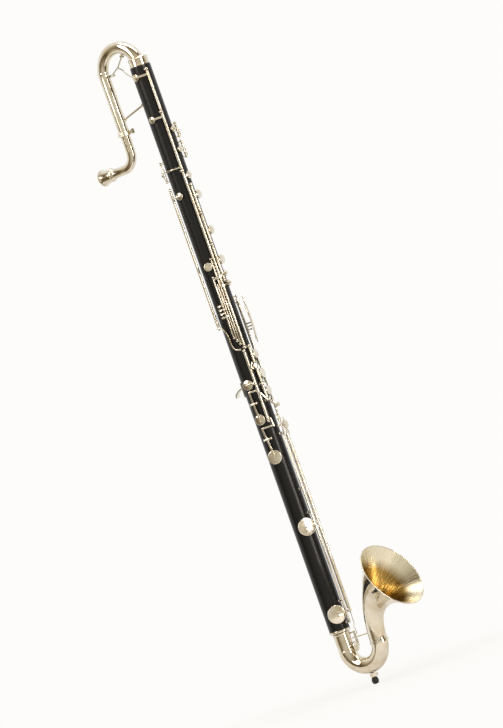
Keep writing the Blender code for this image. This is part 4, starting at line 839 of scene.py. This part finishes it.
def makeBow():
    inner = bow["radius"] - bow["tenonDrop"] - bow["cork"] - keywork["gap"]
    centres = [bowPoint(0, bow["tenon"] - 0.3), bowPoint(0, -0.3), bowPoint(0, -0.4), bowPoint(0, -0.9)]
    outer = [inner, inner, bow["radius"] - 0.4, bow["radius"]]
    hollow = [inner - bow["wall"]] * 4
    steps = 52
    for i in range(steps + 1):
        turn = -math.pi * i / steps
        centres.append(bowPoint(-bow["bend"] + bow["bend"] * math.cos(turn),
                                -bow["straight"] + bow["bend"] * math.sin(turn)))
        outer.append(bow["radius"])
        hollow.append(bow["radius"] - bow["wall"])
    low = -bow["straight"]
    shapes = [sweep(centres, outer, bow["sides"], hollow, sideways),
              ringBead(bowPoint(0, -3), bowPoint(0, -2), bow["radius"], 4.0),
              ringBead(bowPoint(0, low - 2), bowPoint(0, low), bow["radius"], 2.4)]
    spot = facing(270, bodyFoot - bow["keyDrop"] * mm)
    rim, hole = bow["radius"] + bow["rim"], bow["holeRadius"]
    chimney = [(hole, 13), (hole, rim), (hole + 0.6, rim + 0.1), (hole + 1.3, rim - 0.2), (hole + 1.7, 14),
               (hole + 1.3, 13)]
    shapes.append(lathe(chimney, 40, spot, closed=True))
    post = [(0, 16.0), (2.3, 16.0), (2.3, 17.4), (1.5, 18.2), (1.5, 22), (2.4, 22.8), (2.6, 24),
            (2.2, 25.6), (1.2, 26.4), (0, 26.5)]
    for drop in bow["postDrops"]:
        shapes.append(lathe(post, 24, facing(bowKey["angle"], bodyFoot - drop * mm)))
    piece("bow_fine", shapes, tubeNickel, "frame", ["bow"])


def makeBell():
    rings, sides = bell["rings"], bell["sides"]  # closer together towards the rim
    shares = [1 - (1 - i / (rings - 1)) ** 1.35 for i in range(rings)]
    profile = []
    for share in shares:
        point, slope = bellPlace(share)
        radius = bell["throat"] + (bell["rim"] - bell["throat"]) * share ** bell["flare"]
        profile.append((point, slope, radius))
    for name, finish, inset in (("bell_fine", tubeNickel, 0.0), ("bell_lining", lining, 0.55)):
        points, uv, skins = [], [], []
        for depth in (inset, inset + (0.5 if inset == 0 else 0.6)):
            ringSet = []
            for k, (point, slope, radius) in enumerate(profile):
                lift = slope.cross(sideways)
                ringSet.append(list(range(len(points), len(points) + sides)))
                for i in range(sides):
                    turn = math.tau * i / sides
                    outward = sideways * math.cos(turn) + lift * math.sin(turn)
                    points.append(point + outward * ((radius - depth) * mm)
                                  + (up * bell["clearance"] * mm if k == 0 else Vector()))
                    uv.append((abs(i / sides * 2 - 1), shares[k]))
            skins.append(ringSet)
        made = [(points, skin(skins[0] + skins[1][::-1], True))]
        if inset == 0:
            centre, slope, radius = profile[-1]
            turns = [math.tau * i / 14 for i in range(14)]
            roll = [(radius + bell["roll"] * math.cos(t) - 0.1, bell["roll"] * math.sin(t)) for t in turns]
            made.append(lathe(roll, sides, along(centre, centre + slope), closed=True))
            piece(name, made, finish, "frame", ["bell"])
        else:
            piece(name, made, finish, "frame", uv=uv)
    throat = bowPoint(-2 * bow["bend"], -bow["straight"])
    ring = [(17.1, -5), (18.2, -5), (18.6, -4.6), (18.6, -0.7), (18.2, -0.3), (17.1, -0.3)]
    hoop = lathe(ring, bow["sides"], Matrix.Translation(throat), closed=True)
    piece("bell_joint_ring_fine", [hoop], tubeNickel, "frame", ["bell_joint_ring"])
    ferrule = [(20.3, 0), (20.7, 0), (20.9, 0.3), (20.9, 4.2), (20.7, 4.5), (20.3, 4.5)]
    band = lathe(ferrule, tube["sides"], Matrix.Translation((0, axisY, bodyFoot)), closed=True)
    piece("bottom_ferrule_fine", [band], nickel, "frame", ["bottom_ferrule"])
    print("bow and bell made")


bowKey = dict(angle=307, reach=24.0, rod=2.2, top=10, length=20, cupRadius=10.0, thickness=1.5)


def makeBowKey():
    spot = facing(270, bodyFoot - bow["keyDrop"] * mm)
    floor = bow["radius"] + bow["rim"] + keywork["gap"]
    ceiling = floor + keywork["padThickness"] + keywork["gap"]
    crown = ceiling + keywork["cupWall"]
    angle, reach, radius, thickness = bowKey["angle"], bowKey["reach"], bowKey["rod"], bowKey["thickness"]
    high = bodyFoot - bowKey["top"] * mm
    low = high - bowKey["length"] * mm
    profile = [(0, 0), (radius, 0), (radius, bowKey["length"]), (0, bowKey["length"])]
    sleeve = lathe(profile, keywork["rodSides"], Matrix.Translation(around(angle, reach, low)))
    overCup = [(11.5, 8, crown + 1.0), (4, 2, crown + 1.3), (-2, 0, crown + 1.3)]
    arm = smoothPath([around(angle, reach, low + 4 * mm), *[spot @ (Vector(p) * mm) for p in overCup]], 7)
    tail = smoothPath([around(angle, reach, high - 3 * mm), around(angle, reach + 4.4, high - 1 * mm),
                       around(angle, reach + 4.4, high + 6 * mm),
                       around(angle - 6, reach + 2.6, high + 14 * mm)], 7)
    turn = standsOpen("bow_key")
    shapes = [sleeve, ribbon(arm, 3.8, thickness), ribbon(tail, 3.4, thickness),
              cupShape(spot, bowKey["cupRadius"], floor, ceiling)]
    pad = moved(padShape(spot, bowKey["cupRadius"], floor, ceiling), turn)
    piece("bow_key_fine", [moved(shape, turn) for shape in shapes], nickel, "bow_key", ["bow_key"])
    piece("bow_pad_fine", [pad], padSkin, "bow_key", ["bow_pad"])
    print("bow key made")


# Nodes that keep the model's own mesh, with a finish
kept = [(corkSheet, ("neck_cork", "bow_cork")), (rubber, ("peg_tip",)), (blueSteel, ("floor_peg",)),
        (nickel, ("brace_saddle", "clamp_ring", "clamp_screw", "neck_brace", "neck_vent_key", "vent_saddle",
                  "bell_brace", "peg_socket", "peg_screw", "thumb_rest"))]


def finishNodes():
    for finish, names in kept:
        for name in names:
            node = frame["nodes"][name]
            node.data.materials.clear()
            node.data.materials.append(finish)
    print("kept nodes finished")


# Set: floor, backdrop, lamps and the camera
studio = dict(middle=(0.00636, 0.03092, 0.6435), distance=12.0, lens=315.6, lean=(0.3338, 0.9426),
              towardsCamera=(-0.8, -0.6, 0.0), white="fdfcfa", floor=(0.7, 0.8), lampLength=2.6)
lamps = dict(key_lamp=((-2.2, 0.6, 1.7), 1.1, 42), side_strip=((-0.5, -2.6, 0.5), 0.4, 46),
             top_lamp=((0.3, -0.6, 2.6), 1.2, 26))  # place beside the middle, width and power


def makeFloor():
    x, y = studio["floor"]
    floorMesh = bpy.data.meshes.new("floor")
    floorMesh.from_pydata([(-x, -y, 0), (x, -y, 0), (x, y, 0), (-x, y, 0)], [], [(0, 1, 2, 3)])
    floor = bpy.data.objects.new("floor", floorMesh)
    bpy.context.scene.collection.objects.link(floor)
    made, tree, shader = newMaterial("pale_floor", "f4f2ee", 0.9)
    path = add(tree, "ShaderNodeLightPath")
    glow = add(tree, "ShaderNodeEmission", {"Color": colour(studio["white"]), "Strength": 1.0})
    place = add(tree, "ShaderNodeTexCoord").outputs["Object"]
    far = add(tree, "ShaderNodeVectorMath", {"operation": "LENGTH"}, {0: place})
    fade = add(tree, "ShaderNodeMapRange", {"From Min": 0.06, "From Max": 0.55, "To Min": 0.8, "To Max": 1.0},
               {"Value": far.outputs["Value"]})  # the floor melts into the backdrop 55 cm from the peg
    seen = add(tree, "ShaderNodeMath", {"operation": "MULTIPLY"},
               {0: path.outputs["Is Camera Ray"], 1: fade.outputs["Result"]})
    add(tree, "ShaderNodeMixShader", links={0: seen.outputs[0], 1: shader.outputs[0], 2: glow.outputs[0]},
        into=tree.nodes["Material Output"].inputs["Surface"])
    floorMesh.materials.append(made)


def makeWorld():
    # White to the camera, a warm room with a dark band for metal to mirror, a soft even light on the rest
    world = bpy.data.worlds.new("studio")
    world.use_nodes = True
    bpy.context.scene.world = world
    tree = world.node_tree
    ambient = tree.nodes["Background"]
    ambient.inputs["Color"].default_value = colour("f2efe9")
    ambient.inputs["Strength"].default_value = 0.45
    path = add(tree, "ShaderNodeLightPath")
    place = add(tree, "ShaderNodeTexCoord").outputs["Generated"]
    toCamera = add(tree, "ShaderNodeVectorMath", {"operation": "DOT_PRODUCT", 1: studio["towardsCamera"]},
                   {0: place})
    spread = add(tree, "ShaderNodeMapRange", {"From Min": -1.0, "From Max": 1.0},
                 {"Value": toCamera.outputs["Value"]})
    bands = [(0.0, studio["white"]), (0.42, "f6f3ec"), (0.55, "c9bd9f"), (0.67, "5c4b35"), (0.8, "8f8068"),
             (0.93, "cbc3b0"), (1.0, "dcd5c4")]
    room = add(tree, "ShaderNodeValToRGB", {"stops": bands}, {"Fac": spread.outputs["Result"]})
    mirror = add(tree, "ShaderNodeBackground", {"Strength": 1.0}, {"Color": room.outputs["Color"]})
    seenWhite = add(tree, "ShaderNodeBackground", {"Color": colour(studio["white"]), "Strength": 1.0})
    shiny = add(tree, "ShaderNodeMath", {"operation": "MAXIMUM"},
                {0: path.outputs["Is Glossy Ray"], 1: path.outputs["Is Transmission Ray"]})
    first = add(tree, "ShaderNodeMixShader",
                links={0: shiny.outputs[0], 1: ambient.outputs[0], 2: mirror.outputs[0]})
    add(tree, "ShaderNodeMixShader",
        links={0: path.outputs["Is Camera Ray"], 1: first.outputs[0], 2: seenWhite.outputs[0]},
        into=tree.nodes["World Output"].inputs["Surface"])


def makeLamps():
    middle = Vector(studio["middle"])
    for name, (offset, width, power) in lamps.items():
        lamp = bpy.data.lights.new(name, "AREA")
        lamp.shape = "RECTANGLE"
        lamp.size = width
        lamp.size_y = studio["lampLength"]
        lamp.energy = power
        lamp.color = colour("fff6ea")[:3]
        obj = bpy.data.objects.new(name, lamp)
        obj.location = middle + Vector(offset)
        obj.rotation_euler = (-Vector(offset)).to_track_quat("-Z", "Y").to_euler()
        bpy.context.scene.collection.objects.link(obj)


def makeCamera():
    data = bpy.data.cameras.new("camera")
    data.lens = studio["lens"]
    data.clip_end = 100
    obj = bpy.data.objects.new("camera", data)
    back, across = Vector(studio["towardsCamera"]), Vector((0.6, -0.8, 0))
    lean, rise = studio["lean"]
    right = across * rise - up * lean
    top = across * lean + up * rise
    place = Vector(studio["middle"]) + back * studio["distance"]
    obj.matrix_world = Matrix((
        (right.x, top.x, back.x, place.x), (right.y, top.y, back.y, place.y),
        (right.z, top.z, back.z, place.z), (0, 0, 0, 1)))
    bpy.context.scene.collection.objects.link(obj)
    bpy.context.scene.camera = obj


makeCamera()
makeFloor()
makeWorld()
makeLamps()
print("stage made")
makeBody()
makeKeys()
makeRockers()
makePillars()
makeGuides()
makeSprings()
makeNeck()
makeBow()
makeBell()
makeBowKey()
finishNodes()
bpy.context.scene.view_settings.view_transform = "Standard"
